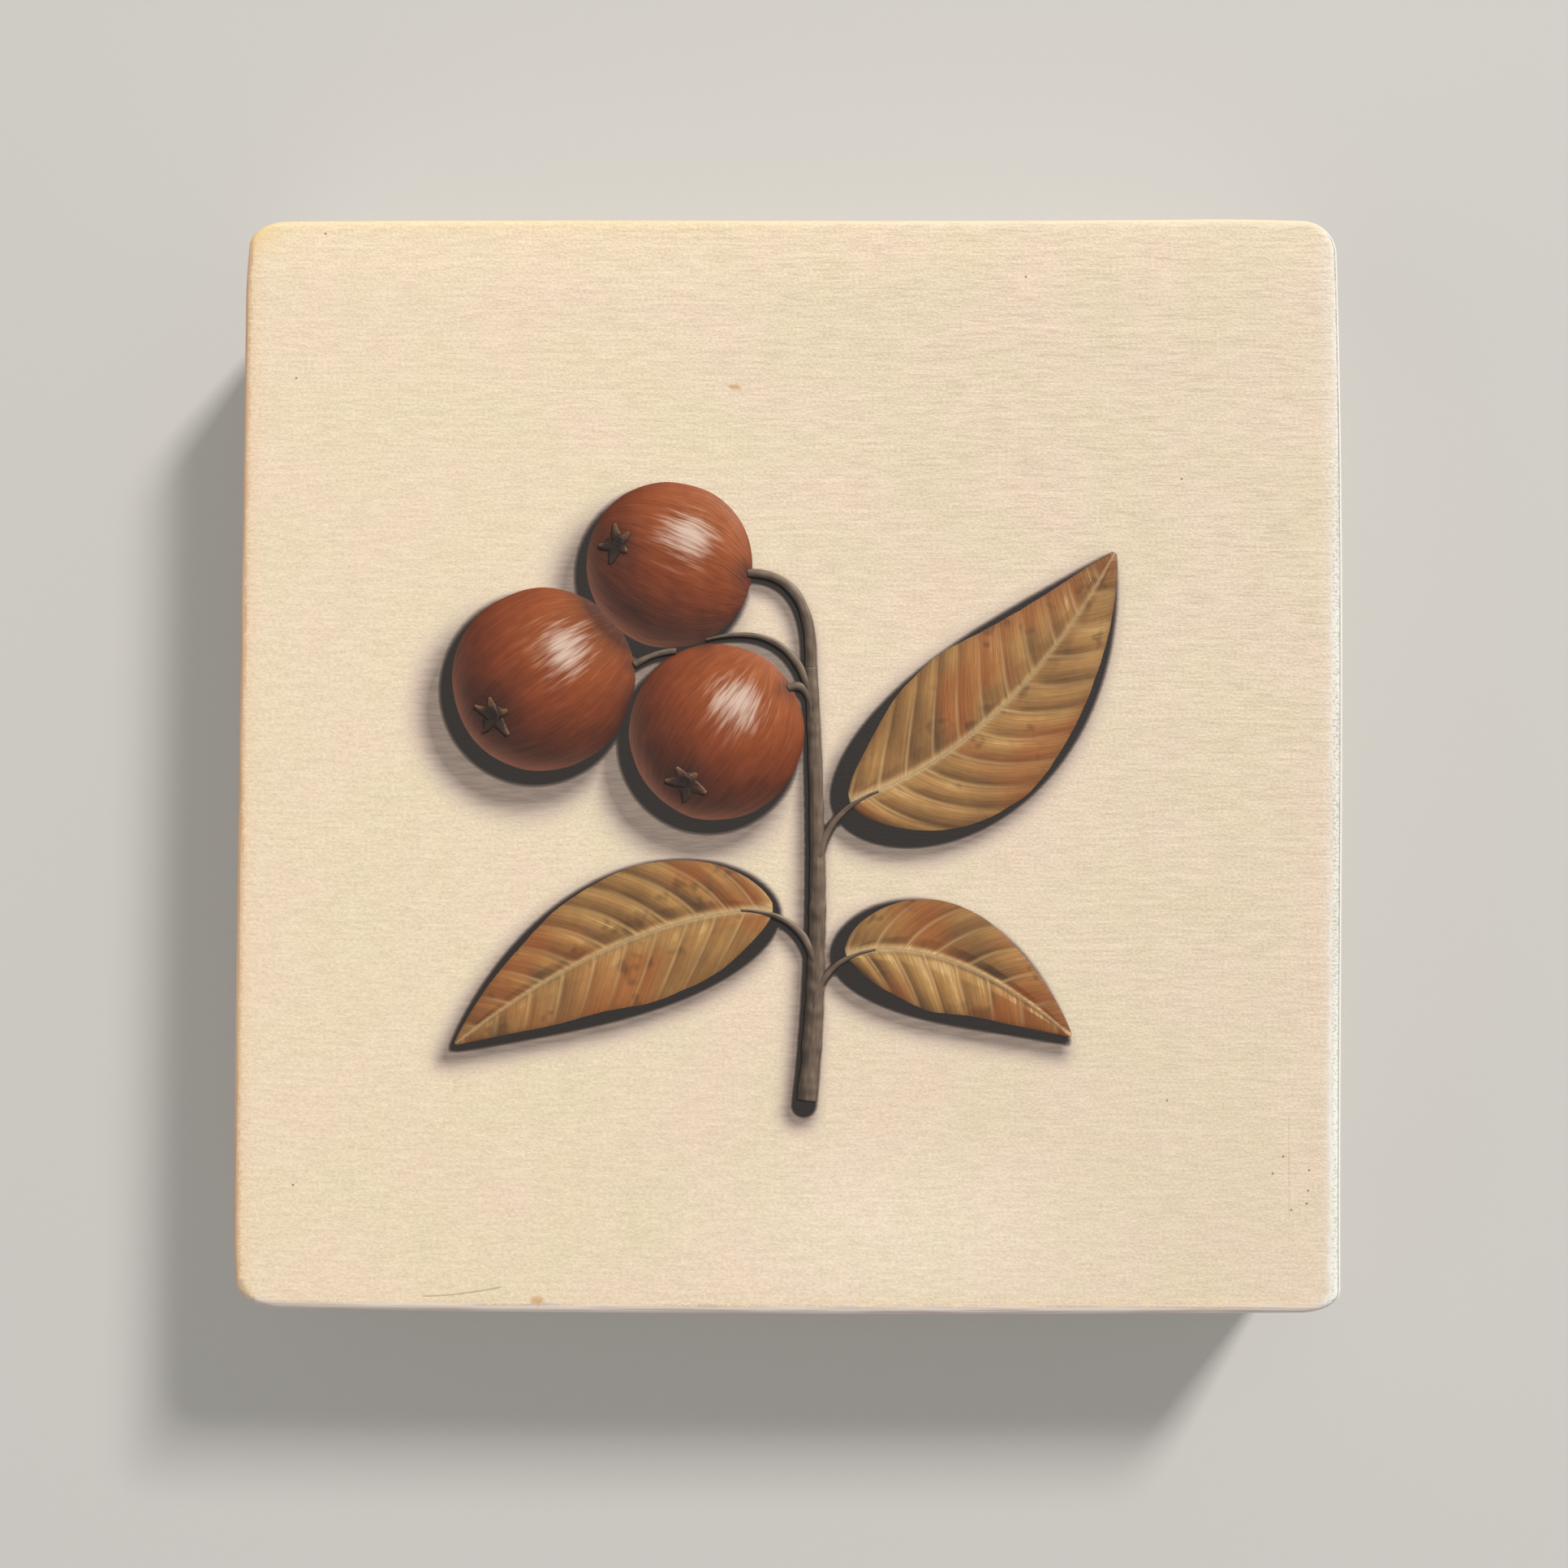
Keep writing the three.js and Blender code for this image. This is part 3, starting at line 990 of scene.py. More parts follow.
# %% Plan the sprig
BERRIES = {
    "berry_left": ((-22.6, 7.6), 8.6, 215),
    "berry_top": ((-11.0, 18.2), 7.8, 158),
    "berry_low": ((-6.6, 2.8), 8.2, 238),
}
LEAVES = {
    "leaf_right": ((5.6, -3.5), (20.0, 1.0), (30.0, 19.5), 7.6),
    "leaf_left": ((-1.3, -13.5), (-14.5, -13.5), (-30.5, -26.0), 6.4),
    "leaf_low": ((5.3, -17.6), (14.5, -15.0), (26.0, -25.0), 5.2),
}
STEMS = {
    "stem_main": ((1.8, -31.0), (3.5, -15.0), (2.0, 9.0), 1.0, 0.62),
    "stem_top": ((2.0, 8.6), (2.4, 17.6), (-3.9, 17.4), 0.6, 0.42),
    "stem_left": ((2.2, 5.6), (0.4, 13.5), (-7.7, 11.2), 0.5, 0.16),
    "stem_behind": ((-10.3, 10.2), (-12.4, 10.1), (-14.2, 8.9), 0.3, 0.36),
    "stem_low": ((2.4, 3.4), (2.2, 7.8), (-0.1, 6.8), 0.5, 0.4),
    "stalk_right": ((2.8, -8.8), (3.6, -4.4), (8.4, -2.6), 0.5, 0.14),
    "stalk_left": ((2.5, -18.4), (1.4, -13.6), (-4.4, -13.6), 0.5, 0.14),
    "stalk_low": ((2.4, -22.8), (2.8, -18.0), (8.2, -17.1), 0.46, 0.14),
}
BERRY_LIFT, LEAF_LIFT, STEM_LIFT = 1.0, 0.5, 0.35
DISCS_A_STROKE = 80


def curve_at(start, bend, end, share):
    """Points on the curve from start to end that is pulled towards a bend."""
    start, bend, end = (np.array(point)[:, None] for point in (start, bend, end))
    return (1 - share) ** 2 * start + 2 * share * (1 - share) * bend + share**2 * end


def leaf_width(share):
    """A leaf's half width along it, from 0 at the stalk to 0 at the tip."""
    return np.sin(math.pi * np.clip(share, 0, 1) ** 0.8) ** 0.85


def discs():
    """Rows of discs (x, y, radius, lift off the ground) that cover the whole sprig."""
    share = np.linspace(0, 1, DISCS_A_STROKE)
    lift = np.ones_like(share)
    found = [np.array([[*middle, radius, BERRY_LIFT]]) for middle, radius, _ in BERRIES.values()]
    for start, bend, end, half_width in LEAVES.values():
        x, y = curve_at(start, bend, end, share)
        found.append(np.stack([x, y, half_width * leaf_width(share), lift * LEAF_LIFT], axis=1))
    for start, bend, end, first, last in STEMS.values():
        x, y = curve_at(start, bend, end, share)
        found.append(np.stack([x, y, first + (last - first) * share, lift * STEM_LIFT], axis=1))
    return np.concatenate(found)


# %% [markdown]
# The shadow of a disc is the disc itself, moved away from the light and blurred. Two copies are
# enough: a dark narrow one where the shape nearly touches, and a paler, softer one further out.
# The mesh keeps the distance to each copy and not its darkness. A distance changes evenly from
# point to point, so the rim stays crisp although the grid is coarser than the rim.


# %% Measure the way to the painted shadow
CONTACT_MOVE, CONTACT_BLUR = (-0.75, -1.05), 1.1
CAST_MOVE, CAST_BLUR = (-2.0, -2.8), 4.2
DEEP_INSIDE, FAR_OUTSIDE = -2.0, 3.0


def outside_discs(x, y, move, blur):
    """The distance to the moved discs: 0 at their rim, 1 where their blur ends. Lift widens the blur."""
    nearest = np.full(np.shape(x), FAR_OUTSIDE)
    for disc_x, disc_y, radius, lift in discs():
        away = np.hypot(x - disc_x - move[0] * lift, y - disc_y - move[1] * lift) - radius
        nearest = np.minimum(nearest, away / (blur * (0.35 + 0.65 * lift)))
    return np.maximum(nearest, DEEP_INSIDE)


print(f"sprig: {len(BERRIES)} berries, {len(LEAVES)} leaves, {len(STEMS)} stems, {len(discs())} discs")

# %% [markdown]
# ## The ground as a skin
# The ground is a coat about a seventh of a millimetre thick. It is one thin shell: a grid over the
# face, rolled over the edge and run down the sides, where the brush left off unevenly a little short
# of the back. The grid is finer under the picture, because it carries the painted shadow. Its slow
# swells are in the mesh itself, and the finish adds the fine ridges. Inside, the shell is plain.

# %% Lay out the ground's front
PICTURE_X, PICTURE_Y = (-35.0, 31.5), (-34.0, 27.0)
PICTURE_STEP, STEP_X, STEP_Y = 0.36, 0.8, 0.5
EDGE_ZONE, EDGE_STEP = 4.5, 0.32
ROUNDING_LINES = 7
FLAT = HALF - FRONT_ROUNDING


def grid_lines(picture, step):
    """Coordinates across the face, close together over the rounded edge and under the picture."""
    turns = np.linspace(0, math.pi / 2, ROUNDING_LINES)
    rounded = FLAT + FRONT_ROUNDING * np.cos(turns)
    zone = HALF - EDGE_ZONE
    beside = np.linspace(FLAT, zone, round((FLAT - zone) / EDGE_STEP) + 1)[1:-1]
    outer = np.concatenate([rounded, beside])
    start, end = picture
    stretches = ((-zone, start, step), (start, end, PICTURE_STEP), (end, zone, step))
    inner = [np.linspace(low, high, round((high - low) / gap) + 1)[:-1] for low, high, gap in stretches]
    return np.concatenate([-outer, *inner, [zone], outer[::-1]])


def ground_relief(x, y):
    """Faint brushed ridges along the stroke and slow swells of the board, in millimetres."""
    return 0.006 * noise_at(x, y, 6.0, 0.8, 1.0) + 0.02 * noise_at(x, y, 17.0, 13.0, 3.0)


def ground_front(flat_x, flat_y):
    """The grid over the face and its rounded edge: x, y, z and how far inside the outline it is."""
    round_x, round_y = round_off(flat_x, flat_y)
    depth = np.clip(depth_inside(round_x, round_y), 0, None)
    over = np.clip(FRONT_ROUNDING - depth, 0, FRONT_ROUNDING)
    drop = FRONT_ROUNDING - np.sqrt(FRONT_ROUNDING**2 - over**2)
    x, y = sanded(round_x, round_y)
    z = FACE - drop + ground_relief(x, y) * (1 - drop / FRONT_ROUNDING)
    return x, y, z, np.minimum(depth, EDGE_BAND)


def rim_height(x, y):
    """Where the brushed coat ends above the back. Each side reads its own line of the noise."""
    along = np.where(abs(x) > abs(y), y, x)
    side = np.where(abs(x) > abs(y), 5.0, 25.0) + np.where(x + y > 0, 0.0, 50.0)
    slow = noise_at(along, side, 9.0, 1.0, 2.0)
    quick = noise_at(along, side, 1.1, 1.0, 4.0)
    return 1.7 + 0.9 * slow + 0.35 * quick


# %% Make the ground
SIDE_ROWS = 16
INNER_TURNS = np.linspace(0, math.pi / 2, 5)


def skin_rows(x, y, z):
    """The rows below the front's outline: down the sides, round the rim and up the inner side."""
    rim = rim_height(x, y)
    rows = [(x, y, z + (rim - z) * share) for share in np.arange(1, SIDE_ROWS + 1) / SIDE_ROWS]
    shrink = 1 - GROUND_THICKNESS / HALF
    rows.append((x * shrink, y * shrink, rim))
    for turn in INNER_TURNS:
        pull = shrink - BOARD_ROUNDING * (1 - math.cos(turn)) / HALF
        height = FACE - GROUND_THICKNESS - BOARD_ROUNDING * (1 - math.sin(turn))
        rows.append((x * pull, y * pull, np.full(len(x), height)))
    return rows


def make_ground():
    """The shell, with what its finish reads stored at each point, and a flat map of it."""
    flat_x, flat_y = np.meshgrid(grid_lines(PICTURE_X, STEP_X), grid_lines(PICTURE_Y, STEP_Y))
    x, y, z, depth = ground_front(flat_x, flat_y)
    edge = loop_of_grid(*x.shape)
    below = skin_rows(x.ravel()[edge], y.ravel()[edge], z.ravel()[edge])
    points = [np.stack([x.ravel(), y.ravel(), z.ravel()], axis=1)]
    points += [np.stack(row, axis=1) for row in below]
    faces = grid_faces(*x.shape)
    last = edge
    for row in range(len(below)):
        numbers = np.arange(len(edge)) + x.size + row * len(edge)
        faces += bridge(last, numbers)
        last = numbers
    faces.append(last.tolist())
    piece = make_piece("cream_ground", np.concatenate(points), faces, ground_finish)
    down = np.concatenate([row[2] - points[0][edge, 2] for row in below])
    store(piece, "From Edge", np.concatenate([depth.ravel(), down]))
    for label, move, blur in (("Contact", CONTACT_MOVE, CONTACT_BLUR), ("Cast", CAST_MOVE, CAST_BLUR)):
        on_front = outside_discs(x, y, move, blur).ravel()
        store(piece, label, np.concatenate([on_front, np.full(len(down), FAR_OUTSIDE)]))
    map_skin(piece, flat_x, flat_y, edge, len(below))
    return piece


# %% [markdown]
# A finish can be kept with the model as a picture wrapped round it, and that needs a flat map of the
# surface. The front takes most of the map, as a square. The four sides are folded out round it like
# the flaps of a box, and the hidden inner side is put small in one corner.

# %% Map the ground
MAP_FRONT, MAP_FLAP = 0.385, 0.112
MAP_CORNER, MAP_INNER = 0.055, 0.05
ON_FRONT, ON_BOTTOM, ON_RIGHT, ON_TOP, ON_LEFT, ON_INNER = range(6)


def skin_share(lines):
    """Coordinates across the face, measured along the skin over the rounded edge, from -1 to 1."""
    over = np.clip((abs(lines) - FLAT) / FRONT_ROUNDING, 0, 1)
    length = np.minimum(abs(lines), FLAT) + FRONT_ROUNDING * np.arcsin(over)
    return np.sign(lines) * length / length.max()


def map_skin(piece, flat_x, flat_y, edge, rows_below):
    """Lays the front, the four sides and the inner side of the skin out on one flat map."""
    share_x, share_y = skin_share(flat_x).ravel(), skin_share(flat_y).ravel()
    level = np.arange(1, rows_below + 1) / SIDE_ROWS
    level = np.where(level > 1, 1 + (level - 1) / (level.max() - 1), level)
    u = np.concatenate([share_x, np.tile(share_x[edge], rows_below)])
    v = np.concatenate([share_y, np.tile(share_y[edge], rows_below)])
    down = np.concatenate([np.zeros(share_x.size), np.repeat(level, len(edge))])
    rows, columns = flat_x.shape
    flap_lengths = [columns - 1, rows - 1, columns - 1, rows - 1]
    flaps = np.repeat([ON_BOTTOM, ON_RIGHT, ON_TOP, ON_LEFT], flap_lengths)
    kinds = [np.full((rows - 1) * (columns - 1), ON_FRONT), np.tile(flaps, SIDE_ROWS)]
    kinds.append(np.full(len(edge) * (rows_below - SIDE_ROWS) + 1, ON_INNER))
    place_on_map(piece.data, u, v, down, np.concatenate(kinds))


def place_on_map(mesh, u, v, down, kinds):
    """Writes the map, with each corner of a face placed by the part of the skin that the face is on."""
    points, sizes = np.empty(len(mesh.loops), dtype=np.int32), np.empty(len(mesh.polygons), dtype=np.int32)
    mesh.loops.foreach_get("vertex_index", points)
    mesh.polygons.foreach_get("loop_total", sizes)
    kind = np.repeat(kinds, sizes)
    u, v, down = u[points], v[points], down[points]
    flap = MAP_FRONT + MAP_FLAP * down
    ring = MAP_CORNER + MAP_INNER * (1 - 0.6 * (down - 1))[:, None] * np.stack([u, v], axis=1) - 0.5
    map_u = np.where(kind == ON_RIGHT, flap, np.where(kind == ON_LEFT, -flap, MAP_FRONT * u))
    map_v = np.where(kind == ON_TOP, flap, np.where(kind == ON_BOTTOM, -flap, MAP_FRONT * v))
    places = np.where((kind == ON_INNER)[:, None], ring, np.stack([map_u, map_v], axis=1)) + 0.5
    mesh.uv_layers.new(name="OFBake").data.foreach_set("uv", places.astype(np.float32).ravel())


ground = make_ground()
print(f"ground: {len(ground.data.polygons)} faces")

# %% [markdown]
# ## Paint films
# Oil paint stands a little proud of the ground. Each painted shape is a low film with a domed top
# and a flat underside, made from a square grid that is laid out as the shape, or from a few of
# them. Three things are stored at each point of the film, and the finish reads them: the mixed
# colour, how much of the pale highlight lies over it, and a place for the brush marks that follows
# the form, which is what makes a flat picture look round.

# %% Write the film helpers
SUNK = 0.05
UNDERSIDE = 0.04
RIM_SHARPNESS = 10
HEADING_STEP = 0.01


def square_grid(along, across):
    """A grid from -1 to 1 each way."""
    return np.meshgrid(np.linspace(-1, 1, along), np.linspace(-1, 1, across))


def disc_grid(size):
    """A square grid laid out as a disc of radius 1: x, y and how far out each point is."""
    across, upward = square_grid(size, size)
    x, y = across * np.sqrt(1 - upward**2 / 2), upward * np.sqrt(1 - across**2 / 2)
    return x, y, np.hypot(x, y)


def curve_and_heading(start, bend, end, share):
    """A curve at a grid of shares along it, and the way that it runs at each."""
    middle = curve_at(start, bend, end, share.ravel()).reshape(2, *share.shape)
    ahead = curve_at(start, bend, end, share.ravel() + HEADING_STEP).reshape(2, *share.shape)
    return middle, (ahead - middle) / np.linalg.norm(ahead - middle, axis=0)


def round_section(across, fullness=0.9):
    """The height of a round stroke across its width, from 1 in the middle to nearly 0 at its edges."""
    return np.sqrt(np.clip(1 - fullness * across**2, 0, 1))


def blend_tones(tones, amount):
    """A colour from a list of mixed tones: the first at 0, the last at 1."""
    places = np.linspace(0, 1, len(tones))
    return np.stack([np.interp(amount, places, [tone[i] for tone in tones]) for i in range(4)], axis=-1)


def lay_over(tone, colour, amount):
    """A colour laid over the mixed colours by an amount from 0 to 1 at each point."""
    return tone + (np.array(colour) - tone) * amount[..., None]


def film_patch(x, y, height, rim, tone, glint, strokes):
    """One patch of paint: points, faces, and what is stored at each point."""
    rows, columns = x.shape
    z = FACE - SUNK + (SUNK + height) * (1 - rim**RIM_SHARPNESS)
    edge = loop_of_grid(rows, columns)
    top = np.stack([x.ravel(), y.ravel(), z.ravel()], axis=1)
    under = np.arange(len(edge)) + rows * columns
    faces = grid_faces(rows, columns) + bridge(edge, under) + [under.tolist()]
    grids = {"Paint": tone.reshape(-1, 4), "Glint": glint.reshape(-1, 1), "Strokes": strokes.reshape(-1, 3)}
    stored = {label: np.concatenate([values, values[edge]]) for label, values in grids.items()}
    return np.concatenate([top, top[edge] - (0, 0, UNDERSIDE)]), faces, stored


def lay_film(name, film_patches, finish):
    """A film of one or more patches, as one piece."""
    points, faces, count = [], [], 0
    for patch_points, patch_faces, _ in film_patches:
        faces += [[number + count for number in face] for face in patch_faces]
        points.append(patch_points)
        count += len(patch_points)
    piece = make_piece(name, np.concatenate(points), faces, finish)
    for label, kind in (("Paint", "FLOAT_COLOR"), ("Glint", "FLOAT"), ("Strokes", "FLOAT_VECTOR")):
        store(piece, label, np.concatenate([stored[label] for _, _, stored in film_patches]), kind)
    return piece


# %% [markdown]
# A painter gives form by tone. So each shape has a second height that is never built, only painted:
# the fold of a leaf, the round of a stem. The tone at a point is the light that this form would
# catch there, coming from the upper right as the real light does.

# %% Light the painted forms
PICTURE_LIGHT = np.array(SUN_SIDE)


def light_on_form(x, y, form):
    """The light that a grid with this painted height would catch, from about -0.3 to 1."""
    along = np.stack([np.gradient(values, axis=1) for values in (x, y, form)], axis=-1)
    across = np.stack([np.gradient(values, axis=0) for values in (x, y, form)], axis=-1)
    normal = np.cross(along, across)
    normal *= np.sign(normal[..., 2:])
    length = np.linalg.norm(normal, axis=-1, keepdims=True)
    return (normal / np.maximum(length, 1e-9)) @ PICTURE_LIGHT


# %% [markdown]
# One finish serves all the paint. It reads what the film stores and breaks it up with bristle
# marks: lighter and darker streaks in the colour, ridges in the surface, and a highlight that the
# bristles drag out, as a nearly dry brush does.


# %% Mix the paint
PAINT_BUMP = 0.02


def mix_paint(name, highlight, pitch, contrast):
    """Brushed oil paint in the colours that its film stores."""
    material, tree, shader = new_material(name)
    stored = put(tree, "Attribute", attribute_name="Paint").outputs["Color"]
    glint = put(tree, "Attribute", attribute_name="Glint").outputs["Fac"]
    strokes = put(tree, "Attribute", attribute_name="Strokes").outputs["Vector"]
    fine = marks(tree, strokes, length=2.4, pitch=pitch, wander=0.4)
    broad = marks(tree, strokes, length=5.0, pitch=3.0 * pitch, wander=0.8)
    bristles = calc(tree, "MULTIPLY_ADD", broad, 0.45, calc(tree, "MULTIPLY", fine, 0.55))
    in_hollows = [1 - contrast, 1 - contrast, 1 - 0.9 * contrast, 1.0]
    on_ridges = [1 + contrast, 1 + 0.9 * contrast, 1 + 0.75 * contrast, 1.0]
    dark = mix(tree, 1.0, stored, in_hollows, way="MULTIPLY")
    light = mix(tree, 1.0, stored, on_ridges, way="MULTIPLY")
    colour = mix(tree, bristles, dark, light)
    dragged = calc(tree, "MULTIPLY_ADD", calc(tree, "SUBTRACT", bristles, 0.5), 0.7, glint)
    dragged = calc(tree, "MULTIPLY", rise(tree, dragged, 0.1, 1.0), rise(tree, glint, 0.0, 0.25))
    colour = mix(tree, dragged, colour, highlight)
    tree.links.new(colour, shader.inputs["Base Color"])
    tree.links.new(calc(tree, "MULTIPLY_ADD", bristles, 0.12, 0.4), shader.inputs["Roughness"])
    shader.inputs["Specular IOR Level"].default_value = 0.4
    raise_bumps(tree, shader, bristles, PAINT_BUMP)
    return material


berry_finish = mix_paint("brushed_berry", highlight=paint(224, 196, 178), pitch=0.2, contrast=0.2)
leaf_finish = mix_paint("brushed_leaf", highlight=paint(226, 196, 146), pitch=0.17, contrast=0.2)
stem_finish = mix_paint("brushed_stem", highlight=paint(196, 182, 166), pitch=0.15, contrast=0.24)

# %% [markdown]
# ## Berries
# A berry is a disc of paint that has to look like a ball. The tone at each point is what a ball
# would show there under light from the upper right: chestnut in the light, umber in the shade, a
# pinkish glow along the shaded rim from the ground below, and one soft long highlight. A berry
# behind another is darkened where they meet, and the skin dips darkly round the crown. Each film is
# one step thicker than the one before, so that it covers it where they overlap.

# %% Paint the berries
BERRY_TONES = [
    paint(56, 29, 20), paint(92, 42, 22), paint(128, 60, 28), paint(158, 82, 40), paint(186, 112, 66),
]
BERRY_GLOW, BERRY_DARK = paint(178, 116, 92), paint(44, 28, 24)
BERRY_GRID = 96
BERRY_HEIGHT, BERRY_STEP = 0.2, 0.03
CROWN_REACH = 0.66


def crown_place(middle, radius, crown_degrees):
    """Where on the picture a berry's crown sits."""
    turn = math.radians(crown_degrees)
    reach = CROWN_REACH * radius
    return middle[0] + reach * math.cos(turn), middle[1] + reach * math.sin(turn)


def paint_berry(name, middle, radius, crown_degrees):
    """One berry. Its strokes run like meridians from the stalk to the crown."""
    unit_x, unit_y, rim = disc_grid(BERRY_GRID)
    rim_x, rim_y = unit_x / np.maximum(rim, 0.01), unit_y / np.maximum(rim, 0.01)
    uneven = 1 + 0.02 * noise_at(rim_x, rim_y, 0.5, 0.5, radius)
    x, y = middle[0] + unit_x * radius * uneven, middle[1] + unit_y * radius * uneven
    deep = np.sqrt(np.clip(1 - rim**2, 0, 1))
    normal = np.stack([unit_x, unit_y, deep], axis=-1)
    mottle = 0.07 * noise_at(unit_x, unit_y, 0.3, 0.3, radius)
    mottle += 0.04 * noise_at(unit_x, unit_y, 0.1, 0.1, radius)
    lit = np.clip(normal @ PICTURE_LIGHT, -0.2, 1)
    tone = blend_tones(BERRY_TONES, np.clip(0.1 + 0.74 * lit + mottle, 0, 1))
    facing_away = np.clip(-(unit_x * 0.6 + unit_y * 0.8), 0, 1)
    tone = lay_over(tone, BERRY_GLOW, 0.7 * rim**9 * facing_away)
    tone = lay_over(tone, BERRY_DARK, berry_darkness(name, x, y, middle, radius, crown_degrees))
    half_way = (PICTURE_LIGHT + (0, 0, 1)) / np.linalg.norm(PICTURE_LIGHT + (0, 0, 1))
    shine = 1 - normal @ half_way
    glint = 0.6 * np.exp(-shine * 32) + 0.26 * np.exp(-shine * 9)
    height = BERRY_HEIGHT + BERRY_STEP * list(BERRIES).index(name) + 0.09 * deep
    height += 0.015 * noise_at(x, y, 0.9, 0.9, radius)
    strokes = meridians(unit_x, unit_y, deep, crown_degrees) * radius + radius * 11.0
    return lay_film(name, [film_patch(x, y, height, rim, tone, glint, strokes)], berry_finish)


def berry_darkness(name, x, y, middle, radius, crown_degrees):
    """The dips round the crown and a stem's end, and the shade of a nearer berry on one behind it."""
    crown_x, crown_y = crown_place(middle, radius, crown_degrees)
    dark = 0.7 * np.exp(-((np.hypot(x - crown_x, y - crown_y) / (0.24 * radius)) ** 2))
    for _, _, (end_x, end_y), _, _ in STEMS.values():
        dark = np.maximum(dark, 0.6 * np.exp(-((np.hypot(x - end_x, y - end_y) / 1.1) ** 2)))
    nearer = list(BERRIES)[list(BERRIES).index(name) + 1 :]
    for (other_x, other_y), other_radius, _ in (BERRIES[other] for other in nearer):
        away = np.hypot(x - other_x + 0.5, y - other_y + 0.6) - other_radius
        dark = np.maximum(dark, 0.75 * np.exp(-np.clip(away, 0, None) / 1.1))
    return dark


def meridians(unit_x, unit_y, deep, crown_degrees):
    """Places for strokes that run from pole to pole of a ball whose crown points a given way."""
    axis = math.radians(crown_degrees)
    along = unit_x * math.cos(axis) + unit_y * math.sin(axis)
    aside = -unit_x * math.sin(axis) + unit_y * math.cos(axis)
    return np.stack([np.arcsin(np.clip(along, -1, 1)), np.arctan2(aside, deep + 0.25), 0 * along], axis=-1)


berries = [paint_berry(name, *facts) for name, facts in BERRIES.items()]
print(f"berries: {sum(len(berry.data.polygons) for berry in berries)} faces")

# %% [markdown]
# ## Leaves
# A leaf is folded along its midrib and swells between its side veins, and it droops at the rim. Its
# painted form has all three, so one half comes out ochre and the other umber, with a light and a
# dark line beside each vein. Brown blotches lie over it, as on a leaf in autumn, and the rim is
# finely toothed.

# %% Lay out the leaves
LEAF_TONES = [
    paint(58, 42, 30), paint(100, 72, 44), paint(146, 106, 62), paint(186, 142, 84), paint(216, 180, 120),
]
LEAF_VEIN, LEAF_BROWN, LEAF_RUST = paint(208, 180, 132), paint(84, 54, 32), paint(160, 86, 40)
VEIN_GAP = 3.1
TOOTH = 1.5
LEAF_GRID = (230, 104)


def leaf_grid(start, bend, end, half_width):
    """A square grid laid out as a leaf: x, y, the share along it and across it, and its half width."""
    along, across = square_grid(*LEAF_GRID)
    share = 0.5 + 0.5 * along
    length = math.dist(start, end)
    teeth = (share * length / TOOTH) % 1 - 0.5
    across = across * (1 + 0.05 * teeth * abs(across) ** 6)
    middle, forward = curve_and_heading(start, bend, end, share)
    wide = half_width * leaf_width(0.004 + share * 0.992)
    wide = wide * (1 + 0.07 * noise_at(share * 5, np.sign(across), 1, 1, half_width))
    x, y = middle[0] - forward[1] * wide * across, middle[1] + forward[0] * wide * across
    return x, y, share, across, wide, length


def vein_distance(share, across, wide, length):
    """How far each point is from the nearest side vein. The veins curve forward from the midrib."""
    out = abs(across) * wide
    along = share * length - 0.62 * out - 0.05 * out**2
    turn = along / VEIN_GAP + 0.4 * (across < 0)
    return abs(turn - np.round(turn)) * VEIN_GAP, along


# %% Paint the leaves
def paint_leaf(name, start, bend, end, half_width):
    """One leaf, lit from the upper right."""
    x, y, share, across, wide, length = leaf_grid(start, bend, end, half_width)
    side = abs(across)
    from_vein, along = vein_distance(share, across, wide, length)
    out = side * wide
    midrib = np.exp(-((out / (0.42 - 0.3 * share)) ** 2))
    vein = np.exp(-((from_vein / 0.16) ** 2)) * (1 - side**3) * (1 - midrib)
    swell = np.sin(math.pi * from_vein / VEIN_GAP) ** 0.8 * np.clip(side * 4, 0, 1) * (1 - 0.5 * side)
    fold = wide * (0.34 * side - 0.26 * side**2)
    form = fold + 0.42 * swell + 0.14 * vein + 0.3 * midrib + 0.55 * noise_at(x, y, 6.0, 6.0, half_width)
    lit = light_on_form(x, y, form)
    blotch = noise_at(x, y, 2.4, 2.4, half_width) + 0.6 * noise_at(x, y, 0.7, 0.7, half_width)
    tone = blend_tones(LEAF_TONES, np.clip(0.02 + 0.86 * lit + 0.06 * blotch, 0, 1))
    rust = noise_at(x, y, 5.0, 5.0, half_width + 9)
    tone = lay_over(tone, LEAF_RUST, np.clip(rust * 1.2 + 0.5 * share - 0.1, 0, 0.55))
    tired = np.clip(2.2 * blotch - 0.75, 0, 1) + np.clip(share * 3 - 2.3, 0, 0.7) + 0.7 * side**8
    tone = lay_over(tone, LEAF_BROWN, np.clip(tired, 0, 1) * 0.6)
    tone = lay_over(tone, LEAF_VEIN, np.clip(0.8 * midrib + 0.42 * vein, 0, 1) * (1 - 0.4 * share))
    glint = np.clip(2.4 * (lit - 0.72) + 0.2 * blotch, 0, 1) * (1 - side**4) * 0.7
    strokes = np.stack([out * 1.1, along, np.sign(across) * 9], axis=-1) + half_width * 7
    rim = np.maximum(side, abs(2 * share - 1) ** 6)
    height = 0.07 + 0.05 * (1 - side) + 0.025 * swell + 0.05 * midrib + 0.012 * vein
    return lay_film(name, [film_patch(x, y, height, rim, tone, glint, strokes)], leaf_finish)


leaves = [paint_leaf(name, *facts) for name, facts in LEAVES.items()]
print(f"leaves: {sum(len(leaf.data.polygons) for leaf in leaves)} faces")

# %% [markdown]
# ## Stems, stalks and crowns
# What is left are single strokes: the woody stems, the stalk of each leaf, and the crown of each
# berry, five short blunt strokes round a dark pit. A stroke follows a curve, and most of them thin
# out to their end.

